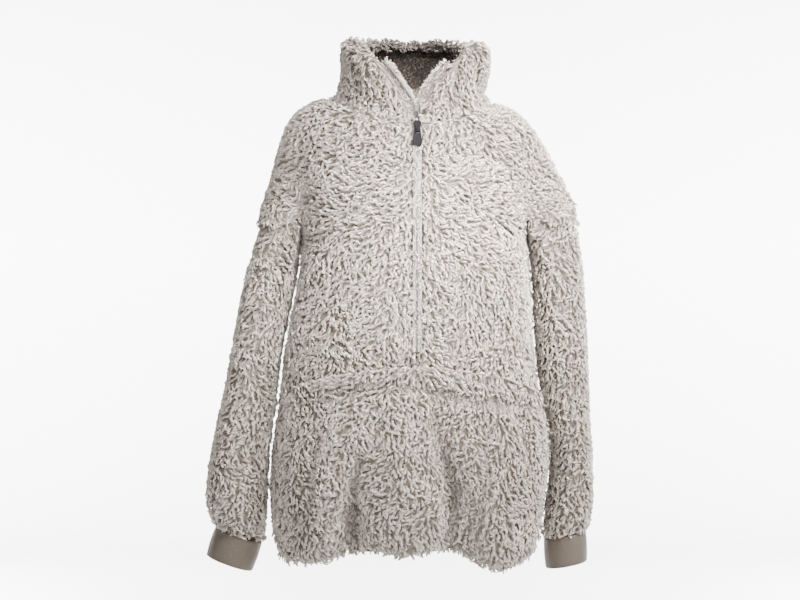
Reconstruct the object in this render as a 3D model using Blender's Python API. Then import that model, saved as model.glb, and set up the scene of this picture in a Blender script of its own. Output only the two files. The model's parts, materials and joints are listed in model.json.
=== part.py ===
"""A half-zip hoodie in deep-pile fleece, worn and hollow, with its hood thrown back.

The garment faces -Y, +Z is up, and the origin is the middle of the neck, where the wearer's
shoulders carry it. Left and right are the wearer's: the left side is +X. Sizes below are in
millimetres, and mesh_object turns them to metres. Each cloth piece is a wall between an outer
surface, at the tips of the pile, and an inner one.
"""

import math
from collections import Counter, namedtuple
from functools import lru_cache

import bpy
import numpy as np

# Driving sizes
PILE = 9.0
LINING = 6.0
SEAM = 0.3
CUFF_CLOTH = 3.0
TAPE = 1.2

# Heights of the body, where z is 0 at the neck
HEM = -700.0
ARMHOLE = -175.0
CHEST_TOP = -60.0
NECK_TOP = 0.0
ZIP_BOTTOM = -379.0

# The neck hole, measured at the pile's tips
NECK_RIGHT = 133.0
NECK_LEFT = 118.0
NECK_FRONT = 126.0
NECK_BACK = 86.0
NECK_FRONT_Z = -31.0
NECK_RIGHT_Z = 12.0
NECK_LEFT_Z = 3.0
NECK_BACK_Z = 12.0

# The zip: half the slit that it fills, how far it lies below the pile's tips, and the channel
# that it presses into the pile
SLIT = 7.0
ZIP_DEPTH = 7.0
CHANNEL_DEPTH = 8.0
CHANNEL_WIDTH = 17.0
TEETH_REACH = 3.6
TAPE_INSIDE = 0.4
TAPE_CLEAR = 2.2
TAPE_TURN = 7.0

# The slider, and the tab that hangs from its crown
SLIDER_MIDDLE = -37.0
SLIDER_LENGTH = 18.0
SLIDER_WIDTH = 12.7
PLATE = 1.6
SLIDER_GAP = 4.0
CROWN_WIDTH = 3.0
CROWN_RISE = 6.4
CROWN_BAR = 1.4
CROWN_LENGTH = 10.0
CROWN_SHIFT = -2.0
TAB_LENGTH = 27.0
TAB_TOP_WIDTH = 9.7
TAB_WIDTH = 14.4
TAB_THICK = 1.7
TAB_EYE = 5.4

# The outline of the body: half widths to each side seam, depths before and behind it,
# and how square the section is (2 is an ellipse)
Section = namedtuple("Section", "z right left front back square")
BODY = (
    Section(-700, 215, 184, 152, 128, 2.5),
    Section(-645, 223, 192, 160, 132, 2.5),
    Section(-590, 225, 200, 163, 130, 2.5),
    Section(-528, 222, 205, 163, 128, 2.5),
    Section(-470, 213, 196, 160, 126, 2.5),
    Section(-440, 209, 187, 158, 126, 2.5),
    Section(-380, 204, 180, 155, 128, 2.5),
    Section(-310, 190, 177, 154, 132, 2.5),
    Section(-240, 178, 173, 153, 137, 2.5),
    Section(-175, 178, 167, 150, 140, 2.5),
    Section(-140, 184, 168, 147, 140, 2.4),
    Section(-100, 200, 184, 138, 138, 2.25),
    Section(-60, 212, 194, 133, 132, 2.15),
)

# Above the armhole the body also covers the top of each arm: how far out it reaches,
# and how deep the crease between arm and chest still is, from 1 at the armhole to 0
Shoulder = namedtuple("Shoulder", "z right left crease")
SHOULDER = (
    Shoulder(-175, 245, 250, 1.0),
    Shoulder(-147, 238, 241, 0.80),
    Shoulder(-124, 229, 229, 0.50),
    Shoulder(-101, 222, 217, 0.22),
    Shoulder(-77, 216, 205, 0.05),
    Shoulder(-60, 212, 194, 0.0),
)
CREASE_DEPTH = 52.0
SLOPE_MIDDLE = 0.85
SHOULDER_SLOPE = {"right": 0.85, "left": 0.62}
ARM_BULGE = (26.0, 26.0)
ARM_ROUND = 58.0

# Each sleeve: how far its outer and inner sides are from the middle, where its middle is
# from front to back, half its depth, and how much its rings tip up towards the outside
Sleeve = namedtuple("Sleeve", "z outer inner middle depth tip square")
SLEEVES = {
    "right": (
        Sleeve(-175, 245.0, 179.5, 0, 55, 0.0, 3.0),
        Sleeve(-217, 255.0, 180.5, 4, 62, 0.0, 2.6),
        Sleeve(-263, 266.0, 184.5, 8, 66, 0.0, 2.4),
        Sleeve(-310, 276.0, 194.0, 9, 66, 0.0, 2.3),
        Sleeve(-380, 288.0, 208.5, 9, 66, 0.0, 2.3),
        Sleeve(-450, 301.0, 215.5, 7, 67, 0.0, 2.3),
        Sleeve(-520, 316.0, 226.0, 5, 68, 0.05, 2.3),
        Sleeve(-580, 326.0, 229.5, 3, 69, 0.10, 2.3),
        Sleeve(-622, 328.0, 231.0, 2, 66, 0.18, 2.3),
        Sleeve(-650, 321.0, 233.0, 1, 58, 0.30, 2.2),
        Sleeve(-664, 314.0, 236.0, 0, 50, 0.36, 2.2),
    ),
    "left": (
        Sleeve(-175, 250.0, 168.5, 0, 55, 0.0, 3.0),
        Sleeve(-217, 256.0, 175.0, 4, 62, 0.0, 2.6),
        Sleeve(-263, 260.0, 178.5, 8, 66, 0.0, 2.4),
        Sleeve(-310, 262.5, 181.0, 9, 66, 0.0, 2.3),
        Sleeve(-380, 266.0, 184.0, 9, 66, 0.0, 2.3),
        Sleeve(-450, 268.0, 193.0, 10, 68, 0.0, 2.3),
        Sleeve(-520, 272.5, 208.5, 12, 72, 0.0, 2.3),
        Sleeve(-580, 275.0, 205.5, 12, 72, 0.05, 2.3),
        Sleeve(-622, 274.0, 199.5, 10, 68, 0.10, 2.3),
        Sleeve(-650, 270.0, 196.0, 6, 60, 0.16, 2.2),
        Sleeve(-664, 265.5, 194.5, 4, 51, 0.20, 2.2),
    ),
}
CUFF_ROWS = 4
CUFF_DROP = 46.0
CUFF_BULGE = 1.5
CUFF_LEAN = {"right": 0.34, "left": 0.05}

# Hem height at lengths along the hem from the centre front, the wearer's right side negative
HemPoint = namedtuple("HemPoint", "along drop")
HEM_FRONT = (
    HemPoint(-300, 2),
    HemPoint(-165, -2),
    HemPoint(-88, -26),
    HemPoint(-25, -14),
    HemPoint(42, -25),
    HemPoint(140, 9),
    HemPoint(280, -4),
)
HEM_BACK = (
    HemPoint(-300, 8),
    HemPoint(-160, -4),
    HemPoint(-80, 6),
    HemPoint(0, -6),
    HemPoint(90, 6),
    HemPoint(170, -5),
    HemPoint(300, -4),
)
HEM_ROLL = 14.0

# The largest folds: troughs that run down the cloth. along is where one starts and ends,
# from the centre line, and the two heights are where it fades in and where it is deepest.
Fold = namedtuple("Fold", "face start_along end_along start_z deep_z depth width")
FOLDS = (
    Fold("front", 24, 60, -410, -620, 34, 22),
    Fold("front", -74, -106, -480, -650, 26, 21),
    Fold("front", -205, -235, -560, -690, 9, 28),
    Fold("front", 150, 190, -520, -690, 8, 26),
    Fold("front", 62, 34, -200, -330, 5, 24),
    Fold("front", -120, -150, -230, -330, 5, 26),
    Fold("back", -58, -84, -420, -660, 22, 24),
    Fold("back", 52, 88, -380, -650, 25, 23),
    Fold("back", 176, 190, -470, -680, 12, 26),
    Fold("back", -170, -196, -500, -680, 11, 26),
    Fold("back", -6, 6, -250, -420, 6, 28),
)

# The pocket: a pouch over the whole lower front, with a slanted hand opening on each side
POCKET_TOP_Z = -404.0
POCKET_CORNER_Z = -441.0
POCKET_OPENING_Z = -500.0
POCKET_TOP_HALF = 222.0
POCKET_SEAM_INSET = 24.0
POUCH = 13.0
POUCH_AT_OPENING = 8.0
RIDGE = 6.0
RIDGE_WIDTH = 15.0

# The hood thrown back. Its front edges carry the zip: places beside, before and above the
# middle of the neck. Its sides slump, and its back turns over and hangs as a pouch: each row
# gives the way out from the neck seam, and the height.
Edge = namedtuple("Edge", "beside before height")
Turn = namedtuple("Turn", "out height")
HOOD_FRONT = {
    "right": (
        Edge(6.3, 126, -37),
        Edge(7, 126, -26),
        Edge(15, 126, -7),
        Edge(28, 125, 12),
        Edge(42, 123, 32),
        Edge(57, 117, 52),
        Edge(67, 104, 69),
        Edge(73, 90, 78),
    ),
    "left": (
        Edge(6.3, 126, -37),
        Edge(6.6, 126, -26),
        Edge(9, 126, -12),
        Edge(19, 125, 8),
        Edge(38, 123, 32),
        Edge(54, 117, 52),
        Edge(64, 104, 66),
        Edge(69, 90, 74),
    ),
}
HOOD_SIDE = {
    "right": (
        Turn(0, 6),
        Turn(-4, 22),
        Turn(-10, 40),
        Turn(-15, 56),
        Turn(-18, 70),
        Turn(-22, 84),
        Turn(-30, 96),
        Turn(-43, 103),
    ),
    "left": (
        Turn(0, -3),
        Turn(-4, 11),
        Turn(-11, 24),
        Turn(-13, 33),
        Turn(-9, 44),
        Turn(-6, 56),
        Turn(-6, 67),
        Turn(-10, 80),
        Turn(-19, 89),
        Turn(-31, 95),
        Turn(-41, 97),
    ),
}
HOOD_BACK = (
    Turn(0, 6),
    Turn(0, 16),
    Turn(4, 25),
    Turn(14, 28),
    Turn(27, 18),
    Turn(41, 0),
    Turn(54, -22),
    Turn(67, -48),
    Turn(79, -74),
    Turn(94, -94),
    Turn(114, -99),
    Turn(130, -84),
    Turn(135, -54),
    Turn(129, -16),
    Turn(115, 24),
    Turn(98, 62),
    Turn(82, 93),
    Turn(70, 113),
)
HOOD_ROWS = tuple(row / 18 for row in range(19))
HOOD_RISE = 0.5
HOOD_CLEAR = 12.0
LINING_GAP = 0.6
LINING_BACK = 0.3
HOOD_DEPTH = PILE + LINING_GAP + LINING
RELAX = 0.6
NORMAL_TIMES = 14
EVEN_TIMES = 30
REST_TIMES = 9
REST_ROWS = 12
CORNER_ROW = 14
CORNER_COLUMNS = 4
CORNER_TIMES = 3

# The crest behind the neck rises and dips: place along it, rise and width
Bump = namedtuple("Bump", "beside rise width")
CREST = (Bump(-13, -13, 13), Bump(-42, 4, 18))

COLOURS = {
    "pile": (0.56, 0.51, 0.46, 1.0),
    "lining": (0.19, 0.165, 0.155, 1.0),
    "cuff": (0.42, 0.38, 0.33, 1.0),
    "tape": (0.66, 0.63, 0.60, 1.0),
    "metal": (0.23, 0.23, 0.25, 1.0),
}
ROUGH = {"pile": 0.95, "lining": 0.95, "cuff": 0.85, "tape": 0.8, "metal": 0.3}


# Interpolation and small vector helpers


def along(table, column, at):
    """A column of a table at a value of its first column, on a smooth curve through the rows."""
    keys = [row[0] for row in table]
    values = [getattr(row, column) for row in table]
    if at <= keys[0]:
        return values[0]
    if at >= keys[-1]:
        return values[-1]
    i = max(k for k in range(len(keys) - 1) if keys[k] <= at)
    step = keys[i + 1] - keys[i]
    share = (at - keys[i]) / step

    def slope(k):
        if k in (0, len(keys) - 1):
            return 0.0 if k == 0 else (values[k] - values[k - 1]) / (keys[k] - keys[k - 1])
        return (values[k + 1] - values[k - 1]) / (keys[k + 1] - keys[k - 1])

    a, b = slope(i) * step, slope(i + 1) * step
    s2, s3 = share**2, share**3
    return (
        values[i] * (2 * s3 - 3 * s2 + 1)
        + a * (s3 - 2 * s2 + share)
        + values[i + 1] * (3 * s2 - 2 * s3)
        + b * (s3 - s2)
    )


def smooth(low, high, value):
    """0 below low, 1 above high, and an easy curve between."""
    share = min(1.0, max(0.0, (value - low) / (high - low)))
    return share * share * (3 - 2 * share)


def mix(a, b, share):
    return a * (1 - share) + b * share


def lengths(points):
    """The length along a line of points, up to each one."""
    steps = np.linalg.norm(np.diff(points, axis=0), axis=1)
    return np.concatenate([[0.0], np.cumsum(steps)])


def at_length(points, distances, s):
    return np.array([np.interp(s, distances, points[:, k]) for k in range(points.shape[1])])


def unit(vector):
    return vector / max(np.linalg.norm(vector), 1e-9)


# The body: half rings from the centre line to the side or shoulder seam


def side_sign(side):
    return 1.0 if side == "left" else -1.0


def face_sign(face):
    return 1.0 if face == "back" else -1.0


def oval_arc(half_width, depth, square, from_depth, to_depth, count):
    """Points (x, depth) of a squared ellipse's quarter between two depths."""
    power = 2.0 / square
    first = math.acos(min(1.0, (from_depth / depth)) ** (1 / power))
    last = math.acos(min(1.0, max(0.0, to_depth / depth)) ** (1 / power))
    angles = np.linspace(first, last, count)
    return np.stack(
        [half_width * np.sin(angles) ** power, depth * np.abs(np.cos(angles)) ** power], axis=1
    )


def arm_arc(start, tangent, end_x, roundness, count):
    """A Bezier curve from the crease, over the arm, to the shoulder line at depth 0."""
    points = [start, start + tangent, np.array([end_x, roundness]), np.array([end_x, 0.0])]
    t = np.linspace(0, 1, count)[:, None]
    return (
        points[0] * (1 - t) ** 3
        + points[1] * 3 * t * (1 - t) ** 2
        + points[2] * 3 * t**2 * (1 - t)
        + points[3] * t**3
    )


def neck_point(side, face, share):
    """The neck seam, from the centre line (share 0) to the shoulder seam (share 1)."""
    angle = share * math.pi / 2
    half = NECK_LEFT if side == "left" else NECK_RIGHT
    side_z = NECK_LEFT_Z if side == "left" else NECK_RIGHT_Z
    depth, centre_z = (NECK_BACK, NECK_BACK_Z) if face == "back" else (NECK_FRONT, NECK_FRONT_Z)
    return np.array(
        [
            side_sign(side) * half * math.sin(angle),
            face_sign(face) * depth * math.cos(angle),
            mix(side_z, centre_z, math.cos(angle) ** 2),
        ]
    )


@lru_cache(maxsize=None)
def half_ring(side, face, h, below):
    """Half of the body's ring at height h, from the centre line out to the seam.

    It returns the points, the length up to each, and the length at which the crease lies.
    below says which ring to take at the armhole: the body's own, or the one over the arms.
    """
    z = min(h, CHEST_TOP)
    section = [along(BODY, name, z) for name in (side, face, "square")]
    half_width, depth, square = section
    crease = along(SHOULDER, "crease", z)
    from_depth = depth
    crease_depth = mix(depth * 0.62, CREASE_DEPTH, crease)
    front = oval_arc(half_width, depth, square, from_depth, crease_depth, 60)
    if below:
        rest = oval_arc(half_width, depth, square, crease_depth, 0.0, 24)
    else:
        end_x = along(SHOULDER, side, z)
        ahead = (front[-1] - front[-3]) * 8
        tangent = mix(ahead, np.array(ARM_BULGE), crease)
        rest = arm_arc(front[-1], tangent, end_x, mix(crease_depth * 0.55, ARM_ROUND, crease), 24)
    flat = np.concatenate([front, rest[1:]])
    points = np.stack(
        [side_sign(side) * flat[:, 0], face_sign(face) * flat[:, 1], np.full(len(flat), z)], axis=1
    )
    if h > CHEST_TOP:
        rise = (h - CHEST_TOP) / (NECK_TOP - CHEST_TOP) * math.pi / 2
        share = lengths(points)
        share = share / share[-1]
        neck = np.array([neck_point(side, face, s) for s in share])
        slope = mix(SLOPE_MIDDLE, SHOULDER_SLOPE[side], share)[:, None]
        points[:, :2] = mix(points[:, :2], neck[:, :2], (1 - math.cos(rise)) ** slope)
        points[:, 2] = mix(points[:, 2], neck[:, 2], math.sin(rise))
    distances = lengths(points)
    return points, distances, distances[len(front) - 1]


def seam_length(side, face, h, below=True):
    return half_ring(side, face, h, below)[1][-1]


def crease_length(side, face, h, below=True):
    return half_ring(side, face, h, below)[2]


def hem_drop(face, s):
    return along(HEM_FRONT if face == "front" else HEM_BACK, "drop", s)


def fold_depth(face, s, h):
    """How far the largest folds push the cloth in, at a length s from the centre line."""
    total = 0.0
    for fold in FOLDS:
        if fold.face != face or h > fold.start_z:
            continue
        run = (fold.start_z - h) / (fold.start_z - fold.deep_z)
        middle = mix(fold.start_along, fold.end_along, min(run, 1.2))
        strength = smooth(0.0, 1.0, run)
        if fold.deep_z > -500:
            strength *= 1 - smooth(1.0, 1.8, run)
        total += fold.depth * strength * math.exp(-(((s - middle) / fold.width) ** 2))
    return total


def body_point(side, face, h, s, below=True, inset=0.0):
    """A point on the body's outer surface. s runs out from the centre line, and on past the
    seam it follows the other face."""
    half = seam_length(side, face, h, below)
    if s > half:
        other = "front" if face == "back" else "back"
        return body_point(side, other, h, half + seam_length(side, other, h, below) - s, below)
    if s < 0:
        other = "left" if side == "right" else "right"
        return body_point(other, face, h, -s, below)
    points, distances, _ = half_ring(side, face, h, below)
    here = at_length(points, distances, s)
    behind = at_length(points, distances, max(0.0, s - 3))
    ahead = at_length(points, distances, min(distances[-1], s + 3))
    tangent = unit(ahead - behind)
    outward = np.array([tangent[1], -tangent[0], 0.0]) * -side_sign(side) * face_sign(face)
    push = inset + fold_depth(face, side_sign(side) * s, h)
    push += HEM_ROLL * smooth(-HEM - 22, -HEM, -h) ** 2
    here = here - unit(outward) * push
    here[2] -= hem_drop(face, side_sign(side) * s) * smooth(590, -HEM, -h)
    return here


def surface_normal(at, s, h, step_s=3.0, step_h=4.0, low=None, high=None):
    """The outward normal of a surface function at(s, h), from its neighbours."""
    h0 = max(h - step_h, low) if low is not None else h - step_h
    h1 = min(h + step_h, high) if high is not None else h + step_h
    across = at(s + step_s, h) - at(s - step_s, h)
    up = at(s, h1) - at(s, h0)
    return unit(np.cross(across, up))


# Turning points and faces into objects


def material(name):
    found = bpy.data.materials.get(name)
    if found:
        return found
    made = bpy.data.materials.new(name)
    made.use_nodes = True
    shader = made.node_tree.nodes["Principled BSDF"]
    shader.inputs["Base Color"].default_value = COLOURS[name]
    shader.inputs["Roughness"].default_value = ROUGH[name]
    shader.inputs["Metallic"].default_value = 1.0 if name == "metal" else 0.0
    made.diffuse_color = COLOURS[name]
    return made


def mesh_object(name, points, faces, finish):
    """An object from points in millimetres and faces, turned to face outwards."""
    mesh = bpy.data.meshes.new(name)
    mesh.from_pydata([tuple(p * 0.001) for p in points], [], faces)
    volume = 0.0
    mesh.calc_loop_triangles()
    for triangle in mesh.loop_triangles:
        a, b, c = (mesh.vertices[i].co for i in triangle.vertices)
        volume += a.dot(b.cross(c))
    if volume < 0:
        mesh.flip_normals()
    mesh.shade_smooth()
    mesh.set_sharp_from_angle(angle=math.radians(50))
    mesh.materials.append(material(finish))
    made = bpy.data.objects.new(name, mesh)
    bpy.context.collection.objects.link(made)
    return made


def cloth(name, finish, quads, place):
    """A wall of cloth. Each quad names its four corners, and place gives a corner's outer and
    inner points. Every quad is cut along the same diagonal, so that layers nest. Edges that only
    one triangle has become the wall's rim."""
    keys = list(dict.fromkeys(key for quad in quads for key in quad))
    index = {key: i for i, key in enumerate(keys)}
    pairs = [place(key) for key in keys]
    points = [pair[0] for pair in pairs] + [pair[1] for pair in pairs]
    count = len(keys)
    faces = []
    for a, b, c, d in ([index[key] for key in quad] for quad in quads):
        faces += [[a, b, c], [a, c, d]]
    edges = Counter((face[k], face[(k + 1) % 3]) for face in faces for k in range(3))
    inner = [[i + count for i in reversed(face)] for face in faces]
    rim = []
    for a, b in edges:
        if (b, a) not in edges:
            rim += [[b, a, a + count], [b, a + count, b + count]]
    return mesh_object(name, points, faces + inner + rim, finish)


def grid(rows, columns, closed=False):
    """The quads of a grid whose corners are (row, column)."""
    last = columns if closed else columns - 1
    return [
        [(r, c), (r, (c + 1) % columns), (r + 1, (c + 1) % columns), (r + 1, c)]
        for r in range(rows - 1)
        for c in range(last)
    ]


# Front and back


POCKET_ROWS = (-700, -688, -665, -635, -600, -562, -525, -488, -455, -432, -418, -409, POCKET_TOP_Z)
LOWER_ROWS = {
    "front": POCKET_ROWS + (ZIP_BOTTOM, -340, -295, -250, -208, ARMHOLE),
    "back": (-700, -688, -662, -628, -590, -550, -508, -462, -415, -365, -315, -265, -215, ARMHOLE),
}
UPPER_ROWS = (ARMHOLE, -150, -122, -92, CHEST_TOP, -44, -29, -14, NECK_TOP)
TORSO_COLUMNS = 12
SIDE_COLUMNS = 3
ARM_COLUMNS = 5
CENTRE_CLOSE = 1.2


def pocket_half(h):
    """Half the pocket's width along the cloth at height h."""
    seam = min(seam_length(side, "front", h) for side in ("left", "right")) - POCKET_SEAM_INSET
    return mix(POCKET_TOP_HALF, seam, smooth(-POCKET_CORNER_Z - 10, -POCKET_OPENING_Z, -h) ** 0.8)


def pocket_top(s):
    return mix(POCKET_TOP_Z, POCKET_CORNER_Z, min(1.0, abs(s) / POCKET_TOP_HALF) ** 1.8)


def row_height(face, s, level):
    """The height of one of the cloth's rows at s. On the front, rows bend with the pocket's top."""
    if face == "back" or level > POCKET_TOP_Z:
        return level
    return HEM + (level - HEM) * (pocket_top(s) - HEM) / (POCKET_TOP_Z - HEM)


def pouch_gap(s, h):
    """The free space between the pocket and the front."""
    rise = min(1.0, max(0.0, (h - HEM) / (pocket_top(s) - HEM)))
    out = min(1.0, abs(s) / pocket_half(h))
    sewn = POUCH_AT_OPENING * smooth(POCKET_OPENING_Z - 20, POCKET_OPENING_Z + 30, h)
    return SEAM * 1.5 + math.sin(math.pi * rise) ** 0.6 * mix(POUCH, sewn, smooth(0.55, 1.0, out))


def front_inset(s, h):
    """How far the front lies inside the pocket's outer surface, under the pocket."""
    above = smooth(-pocket_top(s) - 20, -pocket_top(s), -h)
    beside = 1 - smooth(pocket_half(h), pocket_half(h) + 16, abs(s))
    return above * beside * (PILE + pouch_gap(s, h))


def column_length(face, block, side, column, level):
    """How far along the cloth a column lies in a row, from the centre line. Under the pocket's
    top the last torso column of the front is the pocket's own edge."""
    below = block != "arm" and level <= ARMHOLE
    height = row_height(face, POCKET_TOP_HALF, level)
    edge = crease_length(side, face, height, below)
    if face == "front" and below:
        edge = mix(edge, pocket_half(height), smooth(-ZIP_BOTTOM - 60, -POCKET_TOP_Z, -level))
    if block == "torso":
        first = SLIT if face == "front" else 0.0
        return mix(first, edge, (column / TORSO_COLUMNS) ** CENTRE_CLOSE)
    seam = seam_length(side, face, height, below) - SEAM / 2
    return mix(edge, seam, column / (SIDE_COLUMNS if block == "side" else ARM_COLUMNS))


def body_surface(face, side, block, s, h):
    """The outer surface of the front or back, where s runs along the cloth."""
    level = min(max(h, HEM), NECK_TOP)
    inset = 0.0
    if face == "front":
        channel = CHANNEL_DEPTH * smooth(24, 60, -level)
        inset = front_inset(s, level) + channel * math.exp(-((s / CHANNEL_WIDTH) ** 2))
    below = level <= ARMHOLE and block != "arm"
    return body_point(side, face, level, s, below, inset)


def body_corner(key, face):
    """Where a corner lies: (s, height)."""
    block, side, column, level = key
    s = column_length(face, block, side, column, level)
    return s, row_height(face, s, level)


def body_outer(key, face):
    block, side, _, level = key
    outer = body_surface(face, side, block, *body_corner(key, face))
    if level == ARMHOLE and block != "torso":
        outer[2] += SEAM / 2 if block == "arm" else -SEAM / 2
    return outer


def body_place(key, face):
    """Outer and inner points of a corner of the front or back: (block, side, column, row)."""
    block, side, column, level = key
    s, h = body_corner(key, face)
    low = ARMHOLE if block == "arm" else None
    high = ARMHOLE if block == "side" else None

    def surface(distance, height):
        return body_surface(face, side, block, distance, height)

    outward = surface_normal(surface, s, h, low=low, high=high)
    outer = body_outer(key, face)
    if outward @ (outer - [0, 0, outer[2] - 30]) < 0:
        outward = -outward
    if block != "torso" and column == (SIDE_COLUMNS if block == "side" else ARM_COLUMNS):
        outward = unit(outward * [1, 0, 1])
    if level == ARMHOLE and (block != "torso" or column == TORSO_COLUMNS):
        outward = unit(outward * [1, 1, 0])
        if block == "torso":
            outward = unit(outward + [0, face_sign(face), 0])
    if level == NECK_TOP:
        outward = unit(unit(outer * [1, 1, 0]) + [0, 0, 0.6])
    return outer, outer - outward * PILE


def body_quads(face):
    """The corners of the front's or the back's quads, leaving out the zip's slit."""
    torso = [("torso", "right", c) for c in range(TORSO_COLUMNS, -1, -1)]
    first = 0 if face == "front" else 1
    torso += [("torso", "left", c) for c in range(first, TORSO_COLUMNS + 1)]

    def line(block, count):
        right = [(block, "right", c) for c in range(count, 0, -1)]
        left = [(block, "left", c) for c in range(1, count + 1)]
        return right + torso + left

    quads = []
    for rows, columns in (
        (LOWER_ROWS[face], line("side", SIDE_COLUMNS)),
        (UPPER_ROWS, line("arm", ARM_COLUMNS)),
    ):
        for low, high in zip(rows, rows[1:]):
            for a, b in zip(columns, columns[1:]):
                if face == "front" and a[2] == b[2] == 0 and low >= ZIP_BOTTOM:
                    continue
                quads.append([(*a, low), (*b, low), (*b, high), (*a, high)])
    return quads


def make_body():
    for face in ("front", "back"):
        cloth(face, "pile", body_quads(face), lambda key, face=face: body_place(key, face))


# The pocket


def pocket_place(key):
    """A corner of the pocket: the same corner of the front, moved out."""
    side, column, level = key
    s, h = body_corner(("torso", side, column, level), "front")
    below_top = pocket_top(s) - h - RIDGE_WIDTH / 3
    ridge = RIDGE * math.exp(-((below_top / RIDGE_WIDTH) ** 2))
    outer = body_point(side, "front", h, s, True, -ridge)
    return outer, body_point(side, "front", h, s, True, PILE)


def make_pocket():
    columns = [("right", c) for c in range(TORSO_COLUMNS, -1, -1)]
    columns += [("left", c) for c in range(TORSO_COLUMNS + 1)]
    quads = [
        [(*a, low), (*b, low), (*b, high), (*a, high)]
        for low, high in zip(POCKET_ROWS, POCKET_ROWS[1:])
        for a, b in zip(columns, columns[1:])
    ]
    cloth("pocket", "pile", quads, pocket_place)


# Sleeves and cuffs


SLEEVE_ROWS = (
    -175, -195, -225, -262, -305, -352, -400, -448, -495, -540, -582, -618, -645, -664,
)
SLEEVE_POINTS = 2 * (SIDE_COLUMNS + ARM_COLUMNS)


def sleeve_oval(side, z, point_share):
    """A point of the sleeve's ring at height z. It starts at the underarm, and goes by the front
    to the outside and back."""
    table = SLEEVES[side][::-1]
    outer, inner, middle, depth, tip, square = (
        along(table, name, z) for name in ("outer", "inner", "middle", "depth", "tip", "square")
    )
    angle = 2 * math.pi * point_share
    power = 2.0 / square
    x = -math.cos(angle)
    y = -math.sin(angle)
    half = (outer - inner) / 2
    x = math.copysign(abs(x) ** power, x) * half
    y = math.copysign(abs(y) ** power, y) * depth
    return np.array([side_sign(side) * ((outer + inner) / 2 + x), middle + y, z + tip * x])


@lru_cache(maxsize=None)
def armhole_ring(side):
    """The sleeve's top ring. It meets the armhole's corners, from the underarm by the front."""
    ring = []
    for face in ("front", "back"):
        under = [("side", side, c, ARMHOLE) for c in range(SIDE_COLUMNS, 0, -1)]
        over = [("arm", side, c, ARMHOLE) for c in range(1, ARM_COLUMNS + 1)]
        half = [body_outer(key, face) for key in under]
        half.append(body_outer(("torso", side, TORSO_COLUMNS, ARMHOLE), face))
        half = [point + [side_sign(side) * SEAM, 0, 0] for point in half]
        half += [body_outer(key, face) for key in over]
        ring += half if face == "front" else half[-2:0:-1]
    for point in ring:
        point[2] = ARMHOLE - SEAM / 2
    return np.array(ring + ring[:1])


def armhole_point(side, share):
    ring = armhole_ring(side)
    return at_length(ring, np.linspace(0, 1, len(ring)), share)


def beside_body(side, point):
    """A point of the sleeve, moved out where it would come too near the body's side."""
    half, depth = along(BODY, side, point[2]), along(BODY, "back", point[2])
    if point[1] < 0:
        depth = along(BODY, "front", point[2])
    square = along(BODY, "square", point[2])
    level = max(0.0, 1 - (abs(point[1]) / depth) ** square) ** (1 / square)
    reach = half * level + SEAM + 2.0 * smooth(-ARMHOLE, -ARMHOLE + 50, -point[2])
    moved = point.copy()
    moved[0] = side_sign(side) * max(side_sign(side) * point[0], reach)
    return moved


def sleeve_point(side, share, z):
    below = 1 - smooth(ARMHOLE - 75, ARMHOLE, z)
    oval = sleeve_oval(side, z, share % 1.0)
    top = armhole_point(side, share % 1.0) + np.array([0.0, 0.0, z - ARMHOLE])
    point = mix(top, oval, below)
    return beside_body(side, point) if z < ARMHOLE else point


def sleeve_place(key, side):
    row, column = key
    z = SLEEVE_ROWS[row]
    share = column / SLEEVE_POINTS

    def surface(where, height):
        height = min(max(height, SLEEVE_ROWS[-1]), ARMHOLE)
        return sleeve_point(side, where, height)

    outer = surface(share, z)
    outward = surface_normal(surface, share, z, step_s=0.012, step_h=6.0)
    centre = np.mean([surface(k / 8, z) for k in range(8)], axis=0)
    outward = outward * (1 if outward @ (outer - centre) > 0 else -1)
    if row == 0:
        outward = unit(outward * [1, 1, 0])
    if row == len(SLEEVE_ROWS) - 1:
        outward = unit(outer - centre)
    return outer, outer - outward * PILE


def cuff_place(key, side):
    """A cuff is a tube that hangs from the middle of the sleeve's edge."""
    row, column = key
    ring = [sleeve_oval(side, SLEEVE_ROWS[-1], k / SLEEVE_POINTS) for k in range(SLEEVE_POINTS)]
    centre = np.mean(ring, axis=0)
    out = ring[column] - centre
    share = row / (CUFF_ROWS - 1)
    reach = np.linalg.norm(out) - (PILE - CUFF_CLOTH) / 2 + CUFF_BULGE * math.sin(math.pi * share)
    down = unit(np.array([side_sign(side) * CUFF_LEAN[side], 0.0, -1.0]))
    outer = centre + unit(out) * reach + down * mix(SEAM * 1.2, CUFF_DROP, share)
    return outer, outer - unit(out) * CUFF_CLOTH


def make_sleeves():
    for side in ("right", "left"):
        cloth(
            f"sleeve_{side}",
            "pile",
            grid(len(SLEEVE_ROWS), SLEEVE_POINTS, closed=True),
            lambda key, side=side: sleeve_place(key, side),
        )
        cloth(
            f"cuff_{side}",
            "cuff",
            grid(CUFF_ROWS, SLEEVE_POINTS, closed=True),
            lambda key, side=side: cuff_place(key, side),
        )


# The hood


@lru_cache(maxsize=None)
def dense(points):
    """A smooth line through a table's rows, as many points and the share of its length at each."""
    rows = np.array(points, dtype=float)
    ends = np.concatenate([[2 * rows[0] - rows[1]], rows, [2 * rows[-1] - rows[-2]]])
    line = []
    for a, b, c, d in zip(ends, ends[1:], ends[2:], ends[3:]):
        for t in np.linspace(0, 1, 8, endpoint=False):
            line.append(
                0.5
                * (
                    2 * b
                    + (c - a) * t
                    + (2 * a - 5 * b + 4 * c - d) * t**2
                    + (3 * b - a - 3 * c + d) * t**3
                )
            )
    line = np.array(line + [rows[-1]])
    shares = lengths(line)
    return line, shares / shares[-1]


def shape_at(table, share):
    line, shares = dense(table)
    return at_length(line, shares, share)


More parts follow.
